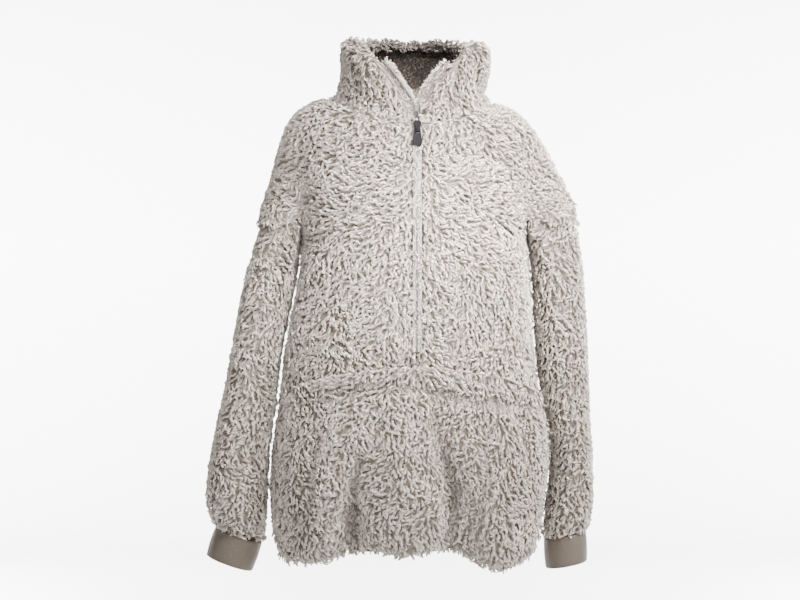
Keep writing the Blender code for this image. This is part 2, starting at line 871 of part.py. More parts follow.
def ring_radius(side, z, direction):
    """How far the body's back reaches at height z, from the middle, in a direction."""
    neck_z = NECK_BACK_Z
    h = z if z <= CHEST_TOP else CHEST_TOP - CHEST_TOP * math.asin(
        min(1.0, (z - CHEST_TOP) / (neck_z - CHEST_TOP))
    ) / (math.pi / 2)
    points = half_ring(side, "back", min(h, NECK_TOP), False)[0]
    angles = np.arctan2(points[:, 1], side_sign(side) * points[:, 0])[::-1]
    wanted = math.atan2(direction[1], side_sign(side) * direction[0])
    return float(np.interp(wanted, angles, np.hypot(points[:, 0], points[:, 1])[::-1]))


def rest_on_body(side, point):
    """A point of the hood, raised to lie on the shoulders or back if it would reach into them."""
    if point[1] <= 0:
        return point
    radius = math.hypot(point[0], point[1])
    if point[2] < CHEST_TOP:
        reach = max(radius, ring_radius(side, point[2], point) + HOOD_CLEAR)
        return point * [reach / radius, reach / radius, 1]
    low, high = CHEST_TOP, NECK_BACK_Z
    if radius >= ring_radius(side, low, point) or radius <= ring_radius(side, high, point):
        return point
    for _ in range(12):
        middle = (low + high) / 2
        low, high = (middle, high) if ring_radius(side, middle, point) > radius else (low, middle)
    lifted = point.copy()
    lifted[2] = max(point[2], high + HOOD_CLEAR)
    return lifted


def hood_point(side, u, v):
    """The hood's outer surface: u runs from the front edge (0) by the side (0.5) to the centre
    back (1), and v from the neck seam (0) to the edge of the face opening (1)."""
    u = min(max(u, 0.0), 1.0)
    v = min(max(v, 0.0), 1.0)
    face, share = ("front", 2 * u) if u <= 0.5 else ("back", 2 - 2 * u)
    neck = neck_point(side, face, share)
    out = unit(neck * [1, 1, 0])
    start = neck - out * SEAM * 2 + [0, 0, HOOD_RISE]
    slump_out, slump_up = shape_at(HOOD_SIDE[side], v) - shape_at(HOOD_SIDE[side], 0)
    slump = out * slump_out + [0, 0, slump_up]
    if u <= 0.5:
        edge = shape_at(HOOD_FRONT[side], v) - shape_at(HOOD_FRONT[side], 0)
        lean = np.array([side_sign(side) * edge[0], -edge[1], edge[2]])
        return start + mix(lean, slump, smooth(0.0, 0.5, u))
    turn = shape_at(HOOD_BACK, v) - shape_at(HOOD_BACK, 0)
    away = unit(mix(out, np.array([0.0, 1.0, 0.0]), 0.5))
    behind = smooth(0.5, 1.0, u)
    point = start + mix(out * slump_out, away * turn[0], behind)
    point[2] += mix(slump_up, turn[1], behind)
    for bump in CREST:
        rise = bump.rise * math.exp(-(((point[0] - bump.beside) / bump.width) ** 2))
        point[2] += rise * behind * smooth(0.8, 1.0, v)
    return point


def hood_columns(side):
    """The hood's columns, from the front edge to the centre back, at corners of the neck."""
    shares = []
    for face in ("front", "back"):
        corners = [("torso", c) for c in range(0, TORSO_COLUMNS + 1, 2)]
        corners += [("arm", c) for c in range(2, ARM_COLUMNS + 1, 3)]
        total = seam_length(side, face, NECK_TOP)
        part = [
            column_length(face, block, side, c, NECK_TOP) / total / 2 for block, c in corners
        ]
        part[-1] = 0.5
        shares += part if face == "front" else [1 - share for share in part[-2::-1]]
    return shares


def relaxed(points, share):
    """A grid of points with each inner one drawn towards its neighbours, as cloth settles."""
    moved = points.copy()
    around = points[:-2, 1:-1] + points[2:, 1:-1] + points[1:-1, :-2] + points[1:-1, 2:]
    moved[1:-1, 1:-1] = mix(points[1:-1, 1:-1], around / 4, share[1:-1, 1:-1])
    beside = (points[-1, :-2] + points[-1, 2:]) / 2
    moved[-1, 1:-1] = mix(points[-1, 1:-1], beside, share[-1, 1:-1])
    return moved


def grid_normals(points):
    """Outward normals of a grid, evened out between neighbours."""
    normals = np.cross(np.gradient(points, axis=0), np.gradient(points, axis=1))
    everywhere = np.full(points.shape[:2] + (1,), RELAX)
    for _ in range(NORMAL_TIMES):
        normals = normals / np.maximum(np.linalg.norm(normals, axis=2, keepdims=True), 1e-9)
        normals = relaxed(normals, everywhere)
    return normals / np.linalg.norm(normals, axis=2, keepdims=True)


def evened(points):
    """A grid with its points spread evenly along its own surface."""
    moved = relaxed(points, np.full(points.shape[:2] + (1,), RELAX)) - points
    normals = grid_normals(points)
    outward = (moved * normals).sum(axis=2, keepdims=True) * normals
    moved[1:-1, 1:-1] -= outward[1:-1, 1:-1]
    return points + moved


@lru_cache(maxsize=None)
def hood_grid():
    """The hood's outer points and outward normals, by row and column. Columns run from the right
    front edge round the back to the left front edge. The cloth settles into open folds."""
    right, left = hood_columns("right"), hood_columns("left")
    columns = [("right", u) for u in right] + [("left", u) for u in left[-2::-1]]
    points = np.array([[hood_point(side, u, v) for side, u in columns] for v in HOOD_ROWS])
    middle = len(right) - 1
    points[:, middle, 0] = 0.0
    for _ in range(EVEN_TIMES):
        points = evened(points)
    behind = np.where(points[..., 1:2] > -20, RELAX, 0.0)
    behind[REST_ROWS:] = 0.0
    for _ in range(REST_TIMES):
        for r in range(2, len(HOOD_ROWS)):
            for c, (side, _) in enumerate(columns):
                points[r, c] = rest_on_body(side, points[r, c])
        points = relaxed(points, behind)
    corners = np.zeros(points.shape[:2] + (1,))
    corners[CORNER_ROW:, :CORNER_COLUMNS] = RELAX
    corners[CORNER_ROW:, -CORNER_COLUMNS:] = RELAX
    for _ in range(CORNER_TIMES):
        points = relaxed(points, corners)
    normals = grid_normals(points)
    normals[:, middle, 0] = 0.0
    normals[0, :, 2] = 0.0
    normals[1:3, :, 2] = np.minimum(normals[1:3, :, 2], 0.0)
    normals[-1] = normals[-2]
    return points, normals / np.linalg.norm(normals, axis=2, keepdims=True), middle


def make_hood():
    points, normals, middle = hood_grid()
    rows, columns = points.shape[:2]

    def corner(key, near, far, shift):
        r, c = key
        point = points[r, c] + [shift if c == middle else 0.0, 0.0, 0.0]
        return point - normals[r, c] * near, point - normals[r, c] * far

    def lining_corner(key):
        r, c = key
        beside = {0: 1, columns - 1: columns - 2}.get(c, c)
        near, far = corner(key, PILE + LINING_GAP, HOOD_DEPTH, 0.0)
        near_beside, far_beside = corner((r, beside), PILE + LINING_GAP, HOOD_DEPTH, 0.0)
        return mix(near, near_beside, LINING_BACK), mix(far, far_beside, LINING_BACK)

    quads = grid(rows, columns)
    halves = {
        "right": [quad for quad in quads if max(c for _, c in quad) <= middle],
        "left": [quad for quad in quads if min(c for _, c in quad) >= middle],
    }
    for side, half in halves.items():
        shift = side_sign(side) * SEAM / 2
        cloth(f"hood_{side}", "pile", half, lambda key, shift=shift: corner(key, 0.0, PILE, shift))
    cloth("hood_lining", "lining", quads, lining_corner)


# The zip


TAPE_HEIGHTS = (ZIP_BOTTOM, -340, -295, -250, -208, -175, -150, -122, -92, CHEST_TOP)
OPEN_ROWS = range(1, 14)

# Inside the slider the two tapes part: places along the slider, and across it
Part = namedtuple("Part", "up teeth root edge")
PARTING = (
    Part(-8, 0.15, 1.6, 6.6),
    Part(-3, 0.6, 2.0, 6.4),
    Part(2, 2.2, 3.7, 5.9),
    Part(6, 2.6, 4.1, 5.8),
    Part(9.6, 2.8, 4.2, 5.7),
)


def zip_line(h):
    """The middle of the closed zip at height h."""
    point = body_point("left", "front", h, SLIT, h <= ARMHOLE, ZIP_DEPTH)
    return np.array([0.0, point[1], point[2]])


def tape_rows(side):
    """Lines across one tape, from the bottom to the top of the zip. Each has the teeth, their
    root, and the tape's edge, which is in the slit or on the inside of the collar."""
    across = np.array([side_sign(side), 0.0, 0.0])
    rows = [
        [zip_line(h) + across * place for place in (SEAM / 2, 1.6, SLIT - SEAM)]
        for h in TAPE_HEIGHTS
    ]
    for part in PARTING:
        middle = zip_line(SLIDER_MIDDLE) + [0, 0, part.up]
        rows.append([middle + across * place for place in part[1:]])
    points, normals, _ = hood_grid()
    first, second = (0, 1) if side == "right" else (-1, -2)
    inside = HOOD_DEPTH + TAPE_CLEAR + TAPE / 2
    opened = []
    for r in OPEN_ROWS:
        point, outward = points[r, first], normals[r, first]
        forward = unit(np.cross(points[r + 1, first] - points[r - 1, first], outward))
        forward *= math.copysign(1, forward @ (point - points[r, second]))
        corner = point - outward * inside
        teeth = point + forward * (TEETH_REACH + TAPE) - outward * (PILE + TAPE)
        far = mix(corner, points[r, second] - normals[r, second] * inside, TAPE_INSIDE)
        opened.append([teeth, corner + forward * (SEAM + TAPE), far])
    teeth = mix(rows[-1][0], opened[0][0], 0.5)
    root = opened[0][1] - [0, 1, TAPE_TURN]
    return rows + [[teeth, root, root + across * 3 + [0, 1, 0]]] + opened


def make_zip():
    for side in ("right", "left"):
        rows = tape_rows(side)

        def corner(key, rows=rows, side=side):
            r, c = key
            before, after = rows[max(r - 1, 0)][c], rows[min(r + 1, len(rows) - 1)][c]
            left, right = rows[r][max(c - 1, 0)], rows[r][min(c + 1, 2)]
            outward = unit(np.cross(right - left, after - before)) * side_sign(side)
            return rows[r][c] + outward * TAPE / 2, rows[r][c] - outward * TAPE / 2

        cloth(f"zip_tape_{side}", "tape", grid(len(rows), 3), corner)


def plate(name, outline, front, back, finish):
    """An upright plate: an outline in (x, z) between two depths before its own middle."""
    count = len(outline)
    points = [np.array([x, -front, z]) for x, z in outline]
    points += [np.array([x, -back, z]) for x, z in outline]
    faces = [list(range(count)), list(range(2 * count - 1, count - 1, -1))]
    faces += [[(k + 1) % count, k, k + count, (k + 1) % count + count] for k in range(count)]
    return mesh_object(name, points, faces, finish)


def join(target, piece):
    """Unites a piece with the target, with a modifier that the target keeps."""
    piece.hide_render = True
    piece.display_type = "WIRE"
    union = target.modifiers.new(piece.name, "BOOLEAN")
    union.operation = "UNION"
    union.object = piece


def box_outline(half, low, high):
    return [(-half, low), (half, low), (half, high), (-half, high)]


def slider_outline(wide, low, high):
    """A slider's plate: narrow below, with shoulders where the two sides part."""
    waist = wide * 0.72
    return [
        (-waist, low + 1.2),
        (-waist + 1.2, low),
        (waist - 1.2, low),
        (waist, low + 1.2),
        (waist, low + 6.0),
        (wide, high - 7.0),
        (wide, high - 3.0),
        (wide - 2.4, high),
        (2.4 - wide, high),
        (-wide, high - 3.0),
        (-wide, high - 7.0),
        (-waist, low + 6.0),
    ]


def make_slider():
    """Two plates on a post, and on the front one the crown that holds the tab."""
    half, middle = SLIDER_LENGTH / 2, SLIDER_GAP / 2
    outline = slider_outline(SLIDER_WIDTH / 2, -half, half)
    front, top = middle + PLATE, middle + PLATE + CROWN_RISE
    slider = plate("slider", outline, middle, front, "metal")
    pieces = [
        plate("slider_back", outline, -middle, -front, "metal"),
        plate("slider_post", box_outline(1.5, half - 6.0, half - 1.5), -middle - 0.5, middle + 0.5,
              "metal"),
    ]
    low, high = -CROWN_LENGTH / 2 + CROWN_SHIFT, CROWN_LENGTH / 2 + CROWN_SHIFT
    bar = CROWN_WIDTH / 2
    pieces += [
        plate("crown_foot", box_outline(bar, low, low + CROWN_BAR), front - 0.5, top, "metal"),
        plate("crown_head", box_outline(bar, high - CROWN_BAR, high), front - 0.5, top, "metal"),
        plate("crown_bar", box_outline(bar, low, high), top - CROWN_BAR, top, "metal"),
    ]
    for piece in [slider] + pieces:
        piece.location = zip_line(SLIDER_MIDDLE) * 0.001
        if piece is not slider:
            join(slider, piece)


def tab_pivot():
    """The middle of the tab's top bar, which hangs in the crown on its foot."""
    before = SLIDER_GAP / 2 + PLATE + (CROWN_RISE - CROWN_BAR) / 2
    above = -CROWN_LENGTH / 2 + CROWN_SHIFT + CROWN_BAR + SEAM + TAB_THICK / 2
    return zip_line(SLIDER_MIDDLE) + [0, -before, above]


def make_tab():
    """The pull tab: a plate that widens downwards, with an eye round the crown's foot."""
    top, low = TAB_THICK / 2, TAB_THICK / 2 - TAB_LENGTH
    wide, narrow = TAB_WIDTH / 2, TAB_TOP_WIDTH / 2
    outline = [(-narrow, top), (-wide, low + 7.0), (-wide + 0.8, low + 3.0), (-wide + 3.6, low)]
    outline += [(-x, z) for x, z in outline[::-1]]
    tab = plate("pull_tab", outline, TAB_THICK / 2, -TAB_THICK / 2, "metal")
    eye_half = CROWN_WIDTH / 2 + 1.1
    eye_top = -TAB_THICK / 2
    eye = plate(
        "tab_eye", box_outline(eye_half, eye_top - TAB_EYE, eye_top), TAB_THICK, -TAB_THICK, "metal"
    )
    eye.hide_render = True
    eye.display_type = "WIRE"
    cut = tab.modifiers.new("eye", "BOOLEAN")
    cut.operation = "DIFFERENCE"
    cut.object = eye
    for piece in (tab, eye):
        piece.location = tab_pivot() * 0.001


def clear_scene():
    for old in list(bpy.data.objects):
        bpy.data.objects.remove(old)


clear_scene()
make_body()
make_pocket()
make_sleeves()
make_hood()
make_zip()
make_slider()
make_tab()
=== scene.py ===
# %% [markdown]
# # A half-zip hoodie in curly sherpa pile
#
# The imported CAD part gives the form: stiff walls of cloth in the shape that a wearer fills.
# This lesson puts the real surfaces on it. The pile is made of small curved tufts, each one
# a lock of fibres, which grow from a knitted backing. The zip gets its metal teeth, the cuffs
# their fine knit, and the hood its short fleece lining.

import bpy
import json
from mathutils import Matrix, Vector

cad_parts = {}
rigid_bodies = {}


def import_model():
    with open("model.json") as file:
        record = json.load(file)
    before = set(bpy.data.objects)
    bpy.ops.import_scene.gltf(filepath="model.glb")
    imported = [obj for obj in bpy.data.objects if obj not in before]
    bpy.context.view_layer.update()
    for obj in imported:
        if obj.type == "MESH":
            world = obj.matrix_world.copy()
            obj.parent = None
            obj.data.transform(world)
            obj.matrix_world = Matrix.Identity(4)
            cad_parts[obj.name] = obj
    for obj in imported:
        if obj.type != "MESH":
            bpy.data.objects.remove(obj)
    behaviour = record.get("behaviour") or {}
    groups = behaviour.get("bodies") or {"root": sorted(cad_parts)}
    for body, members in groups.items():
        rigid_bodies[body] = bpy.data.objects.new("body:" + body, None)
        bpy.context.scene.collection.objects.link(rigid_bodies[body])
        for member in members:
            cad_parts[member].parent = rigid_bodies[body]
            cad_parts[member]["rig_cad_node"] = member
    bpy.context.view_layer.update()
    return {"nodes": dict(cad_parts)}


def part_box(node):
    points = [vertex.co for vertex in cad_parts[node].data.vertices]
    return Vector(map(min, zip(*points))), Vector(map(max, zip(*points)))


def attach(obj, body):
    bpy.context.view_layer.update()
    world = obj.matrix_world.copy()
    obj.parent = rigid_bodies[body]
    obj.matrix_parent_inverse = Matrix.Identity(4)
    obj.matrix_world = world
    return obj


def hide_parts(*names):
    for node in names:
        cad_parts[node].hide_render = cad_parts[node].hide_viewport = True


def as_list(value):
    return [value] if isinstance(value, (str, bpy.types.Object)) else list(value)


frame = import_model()

import json
from collections import namedtuple

import bmesh
import bpy
import numpy as np
from mathutils import Vector, noise
from mathutils.bvhtree import BVHTree
from mathutils.kdtree import KDTree

MM = 0.001
rng = np.random.default_rng(11)

# %% [markdown]
# ## Colours and node helpers
#
# Colours are given as the hex codes seen on a screen. The renderer works with linear light,
# so one function turns a code into linear values. One more adds a shader node with its
# settings, its links and a ramp's colours, which keeps every material short. The scale of a
# pattern is worked out from its real size in millimetres.


# %% Colour and node helpers
def linear(code):
    """A screen colour such as "#c8c0b8" as linear red, green, blue and alpha."""
    channels = [int(code[i : i + 2], 16) / 255 for i in (1, 3, 5)]
    return [c / 12.92 if c <= 0.04045 else ((c + 0.055) / 1.055) ** 2.4 for c in channels] + [1.0]


def node(tree, kind, settings=None, values=None, stops=()):
    """Adds a shader node. settings are its own properties, values fill or link its sockets,
    and stops are the (place, hex colour) pairs of a colour ramp."""
    made = tree.nodes.new("ShaderNode" + kind)
    for name, value in (settings or {}).items():
        setattr(made, name, value)
    for name, value in (values or {}).items():
        socket = made.inputs[name]
        if isinstance(value, bpy.types.NodeSocket):
            tree.links.new(value, socket)
        else:
            socket.default_value = value
    if stops:
        elements = made.color_ramp.elements
        while len(elements) < len(stops):
            elements.new(0.5)
        for element, (place, code) in zip(elements, stops):
            element.position = place
            element.color = linear(code)
    return made


def new_material(name, **values):
    """A material with one Principled shader, whose constant values are set on its own sockets."""
    material = bpy.data.materials.new(name)
    material.use_nodes = True
    tree = material.node_tree
    shader = tree.nodes["Principled BSDF"]
    for key, value in values.items():
        shader.inputs[key.replace("_", " ")].default_value = value
    return material, tree, shader


def connect(tree, shader, colour, relief):
    """Leads a node's colour and a Bump node's normal into the shader."""
    tree.links.new(colour.outputs["Color"], shader.inputs["Base Color"])
    tree.links.new(relief.outputs["Normal"], shader.inputs["Normal"])


def patterned(tree, shader, pattern, stops, strength, depth):
    """Colours a surface by one pattern and raises it by the same one."""
    colour = node(tree, "ValToRGB", values={"Fac": pattern}, stops=stops)
    relief = node(tree, "Bump", values={"Height": pattern, "Strength": strength, "Distance": depth})
    connect(tree, shader, colour, relief)


def cell_scale(size):
    """The scale of a noise or Voronoi pattern whose cells are this many millimetres wide."""
    return 1 / (size * MM)


def band_scale(spacing, turns=20):
    """The scale of a wave pattern whose bands are this many millimetres apart. It turns by 20
    radians for each unit along its axis, and by 10 where its bands are diagonal."""
    return 2 * np.pi / (turns * spacing * MM)


print("a pattern of 1 mm cells has scale", round(cell_scale(1.0)))

# %% [markdown]
# ## The pile's material
#
# Sherpa is a polyester knit whose pile is brushed up and tumbled until it curls into tufts.
# Each tuft is a bundle of fine fibres: light at its tip, and dark towards its root because
# little light gets down there. The tufts carry three values: how far along the tuft a point
# is, the tuft's own tone times the painted shade and light that it is given, and its place
# across the tuft. The first two make the colour. The fibres are drawn as soft bump lines that
# run along the tuft. A real fibre is about 0.02 mm thick, and a line about 1 mm, so that it
# still shows. Polyester fibre has an IOR near 1.55 and a soft sheen. The backing is a plain
# knit, and its loops are 2.4 mm wide.


# %% The pile's material
FIBRE_LINES = (5.0, 1.3, 1.0)  # lines across a tuft and along it, then its own part of the noise


def pile_material(name, root, middle, tip):
    """Curled polyester fibre: dull, with a soft sheen, and darker towards the root."""
    material, tree, shader = new_material(
        name, Roughness=0.85, IOR=1.55, Sheen_Weight=0.35, Sheen_Roughness=0.45
    )
    along = node(tree, "Attribute", {"attribute_name": "along"}).outputs["Fac"]
    # The tone attribute holds each tuft's random tone times painted shade in folds and painted light in
    # the hood's lining.
    tone_and_painted_light = node(tree, "Attribute", {"attribute_name": "tone_and_painted_light"}).outputs["Fac"]
    place = node(tree, "Attribute", {"attribute_name": "fibre"}).outputs["Vector"]
    stops = [(0.0, root), (0.2, root), (0.5, middle), (1.0, tip)]
    body = node(tree, "ValToRGB", values={"Fac": along}, stops=stops).outputs["Color"]
    varied = node(tree, "HueSaturation", values={"Value": tone_and_painted_light, "Color": body})
    lines = node(tree, "Mapping", values={"Vector": place, "Scale": FIBRE_LINES}).outputs["Vector"]
    fibres = node(
        tree, "TexNoise", values={"Vector": lines, "Scale": 1.0, "Detail": 2.0, "Distortion": 0.6}
    )
    height = fibres.outputs["Fac"]
    relief = node(tree, "Bump", values={"Height": height, "Strength": 0.55, "Distance": 1.2 * MM})
    connect(tree, shader, varied, relief)
    return material


def backing_material(name, code):
    """The knitted backing that the pile grows from, seen only in the gaps between tufts."""
    material, tree, shader = new_material(name, Roughness=0.95, IOR=1.55)
    place = node(tree, "TexCoord").outputs["Object"]
    loops = node(tree, "TexVoronoi", values={"Vector": place, "Scale": cell_scale(2.4)})
    stops = [(0.0, code), (1.0, "#5e5852")]
    patterned(tree, shader, loops.outputs["Distance"], stops, 0.5, 1.0 * MM)
    return material


pile = pile_material("sherpa_polyester_pile", "#9a9086", "#cdc4ba", "#f0e9e0")
# a backing darker than the pile: painted shade in the gaps between the tufts
backing = backing_material("sherpa_knit_backing", "#a59b90")
lining_pile = pile_material("lining_polyester_fleece", "#857a74", "#b3a8a2", "#cfc4bd")
# a backing lighter than the lining's pile roots: painted light for the shaded inside of the hood
lining_backing = backing_material("lining_knit_backing", "#aaa097")
print("pile materials:", pile.name, lining_pile.name)

# %% [markdown]
# ## Knit, tape and metal
#
# The cuffs are a smooth fine knit with elastane. Its wales, the columns of stitches, are
# about 1 mm apart, and are drawn at 1.4 mm so that they don't vanish. The tape is woven
# polyester in a fine twill, with a ridge each millimetre. The teeth are a white alloy, dulled
# by wear, and the slider and its tab are plated dark, as gunmetal is: metals keep the
# shader's usual IOR. The thread's twist is drawn 0.7 mm long, twice the real one.


# %% Knit, tape and metal
TWILL_SLANT = 0.7  # in radians, how far the tape's ridges lean over


def knit_material():
    """Elastane knit: wales that run up the cuff and courses round it, in two close greys."""
    material, tree, shader = new_material(
        "cuff_elastane_knit", Roughness=0.8, IOR=1.5, Sheen_Weight=0.25, Sheen_Roughness=0.4
    )
    place = node(tree, "TexCoord").outputs["Object"]
    wale_values = {"Vector": place, "Scale": band_scale(1.4), "Distortion": 1.5, "Detail": 1.0}
    wales = node(tree, "TexWave", {"bands_direction": "X"}, wale_values).outputs["Fac"]
    course_values = {"Vector": place, "Scale": band_scale(1.05), "Distortion": 1.0}
    courses = node(tree, "TexWave", {"bands_direction": "Z"}, course_values).outputs["Fac"]
    heather_values = {"Vector": place, "Scale": cell_scale(1.1), "Detail": 3.0}
    heather = node(tree, "TexNoise", values=heather_values).outputs["Fac"]
    stops = [(0.3, "#554d45"), (0.7, "#6a6259")]
    colour = node(tree, "ValToRGB", values={"Fac": heather}, stops=stops)
    ribs = node(tree, "Bump", values={"Height": wales, "Strength": 0.25, "Distance": 0.6 * MM})
    course_bump = {"Height": courses, "Strength": 0.15, "Distance": 0.4 * MM}
    relief = node(tree, "Bump", values={**course_bump, "Normal": ribs.outputs["Normal"]})
    connect(tree, shader, colour, relief)
    return material


def tape_material():
    """Woven polyester tape: a fine twill whose ridges slant."""
    material, tree, shader = new_material(
        "zip_polyester_tape", Roughness=0.75, IOR=1.55, Sheen_Weight=0.15
    )
    place = node(tree, "TexCoord").outputs["Object"]
    turned = node(tree, "Mapping", values={"Vector": place, "Rotation": (0.0, TWILL_SLANT, 0.0)})
    twill_values = {"Vector": turned.outputs["Vector"], "Scale": band_scale(1.0), "Distortion": 0.4}
    twill = node(tree, "TexWave", {"bands_direction": "X"}, twill_values).outputs["Fac"]
    # the colour follows the twill's relief: darker in its valleys as painted shade
    patterned(tree, shader, twill, [(0.0, "#9f9890"), (1.0, "#c0b9b1")], 0.35, 0.4 * MM)
    return material


def metal_material(name, code, roughness, worn):
    """A metal whose roughness varies in small scuffs, from polished to worn."""
    material, tree, shader = new_material(name, Metallic=1.0, Base_Color=linear(code))
    place = node(tree, "TexCoord").outputs["Object"]
    scuff_values = {"Vector": place, "Scale": cell_scale(1.4), "Detail": 4.0}
    scuffs = node(tree, "TexNoise", values=scuff_values).outputs["Fac"]
    limits = {"To Min": roughness, "To Max": roughness + worn}
    spread = node(tree, "MapRange", values={"Value": scuffs, **limits})
    relief = node(tree, "Bump", values={"Height": scuffs, "Strength": 0.08, "Distance": 0.2 * MM})
    tree.links.new(spread.outputs["Result"], shader.inputs["Roughness"])
    tree.links.new(relief.outputs["Normal"], shader.inputs["Normal"])
    return material


def thread_material(name, dark, light):
    """Twisted polyester thread, with painted shade between its turns."""
    material, tree, shader = new_material(name, Roughness=0.6, IOR=1.55, Sheen_Weight=0.2)
    twist_values = {"Vector": node(tree, "TexCoord").outputs["Object"], "Scale": band_scale(0.7, 10)}
    twist = node(tree, "TexWave", {"bands_direction": "DIAGONAL"}, twist_values).outputs["Fac"]
    # the colour follows the twist's relief: painted shade in the grooves between turns
    patterned(tree, shader, twist, [(0.0, dark), (1.0, light)], 0.3, 0.2 * MM)
    return material


knit = knit_material()
tape = tape_material()
bright = metal_material("white_alloy_teeth", "#8f8e92", 0.26, 0.15)
gunmetal = metal_material("gunmetal_plated_zinc", "#232225", 0.30, 0.16)
thread = thread_material("polyester_thread", "#a8a09a", "#cfc8c2")
cuff_thread = thread_material("polyester_cuff_thread", "#4c443d", "#6c6259")
print("other materials:", knit.name, tape.name, bright.name, gunmetal.name, thread.name)

# %% [markdown]
# ## Reading a CAD wall
#
# A wall of cloth is a closed body: an outer face, an inner face and narrow rims. The tufts
# grow only from the outer face and the rims. To find them, the faces are put in groups that
# meet at less than a sharp angle, and each group is outer or inner by where it faces: away
# from the wearer, or towards them.

# %% Reading a CAD wall
SHARP = 0.62  # the cosine of the angle between two faces that counts as an edge
MERGE = 0.02 * MM  # points nearer than this are one point
QUAD_BEND = 0.9  # in radians, how far two triangles may bend and skew to be one quad
CLEARLY = 0.25  # the mean cosine from which a group of faces is outer or inner


def closed_mesh(name):
    """A CAD node's body as a bmesh with its points joined and its triangles paired to quads."""
    made = bmesh.new()
    made.from_mesh(frame["nodes"][name].data)
    bmesh.ops.remove_doubles(made, verts=made.verts, dist=MERGE)
    bmesh.ops.join_triangles(
        made, faces=made.faces, angle_face_threshold=QUAD_BEND, angle_shape_threshold=QUAD_BEND,
        cmp_seam=False, cmp_sharp=False, cmp_uvs=False, cmp_vcols=False, cmp_materials=False,
    )
    made.normal_update()
    made.faces.ensure_lookup_table()
    return made


def search_tree(mesh):
    """A tree over a mesh's faces, which finds the nearest of them or what a ray hits."""
    return BVHTree.FromPolygons([v.co for v in mesh.vertices], [p.vertices for p in mesh.polygons])


def face_groups(made):
    """Groups of faces that meet smoothly, as a list of lists of faces."""
    left = set(range(len(made.faces)))
    groups = []
    while left:
        stack = [left.pop()]
        group = []
        while stack:
            face = made.faces[stack.pop()]
            group.append(face)
            for edge in face.edges:
                for other in edge.link_faces:
                    if other.index in left and other.normal.dot(face.normal) > SHARP:
                        left.remove(other.index)
                        stack.append(other.index)
        groups.append(group)
    return groups


def sides(made, away):
    """For each face +1 outer, -1 inner or 0 rim. away(centre) is the direction off the body."""
    found = np.zeros(len(made.faces))
    for group in face_groups(made):
        areas = [face.calc_area() for face in group]
        cosines = [face.normal.dot(away(face.calc_center_median())) for face in group]
        mean = sum(cosine * area for cosine, area in zip(cosines, areas)) / sum(areas)
        value = 1 if mean > CLEARLY else -1 if mean < -CLEARLY else 0
        for face in group:
            found[face.index] = value
    return found


print("a wall's faces meet smoothly up to", round(np.degrees(np.arccos(SHARP))), "degrees")

# %% [markdown]
# ## Which way is out
#
# For the body, out is away from the upright axis through the origin. A sleeve or a cuff has a
# middle line of its own, which is worked out level by level. The hood is folded, so there out
# is away from its lining, and for the lining it is away from the pile.

# %% Which way is out
LEVELS = 24  # how many levels give a tube's middle line
SLICE = 40 * MM  # the points this near to a level count for it


def from_axis(name):
    """Away from the upright middle line of a tube such as a sleeve."""
    points = np.array([v.co for v in frame["nodes"][name].data.vertices])
    levels = np.linspace(points[:, 2].min(), points[:, 2].max(), LEVELS)
    middles = []
    for level in levels:
        near = points[np.abs(points[:, 2] - level) < SLICE]
        middles.append((near.min(0) + near.max(0)) / 2)
    middles = np.array(middles)

    def away(centre):
        x = np.interp(centre.z, levels, middles[:, 0])
        y = np.interp(centre.z, levels, middles[:, 1])
        return Vector((centre.x - x, centre.y - y, 0)).normalized()

    return away


def from_nodes(*names):
    """Away from other nodes, by the nearest point on them."""
    trees = [search_tree(frame["nodes"][name].data) for name in names]

    def away(centre):
        near = min((tree.find_nearest(centre)[0] for tree in trees), key=lambda p: (p - centre).length)
        return (centre - near).normalized()

    return away


def from_middle(centre):
    return Vector((centre.x, centre.y, 0)).normalized()


AWAY = {
    "sleeve_left": from_axis("sleeve_left"),
    "sleeve_right": from_axis("sleeve_right"),
    "hood_left": from_nodes("hood_lining"),
    "hood_right": from_nodes("hood_lining"),
    "hood_lining": from_nodes("hood_left", "hood_right"),
    "cuff_left": from_axis("cuff_left"),
    "cuff_right": from_axis("cuff_right"),
}
print("pieces with their own way out:", sorted(AWAY))
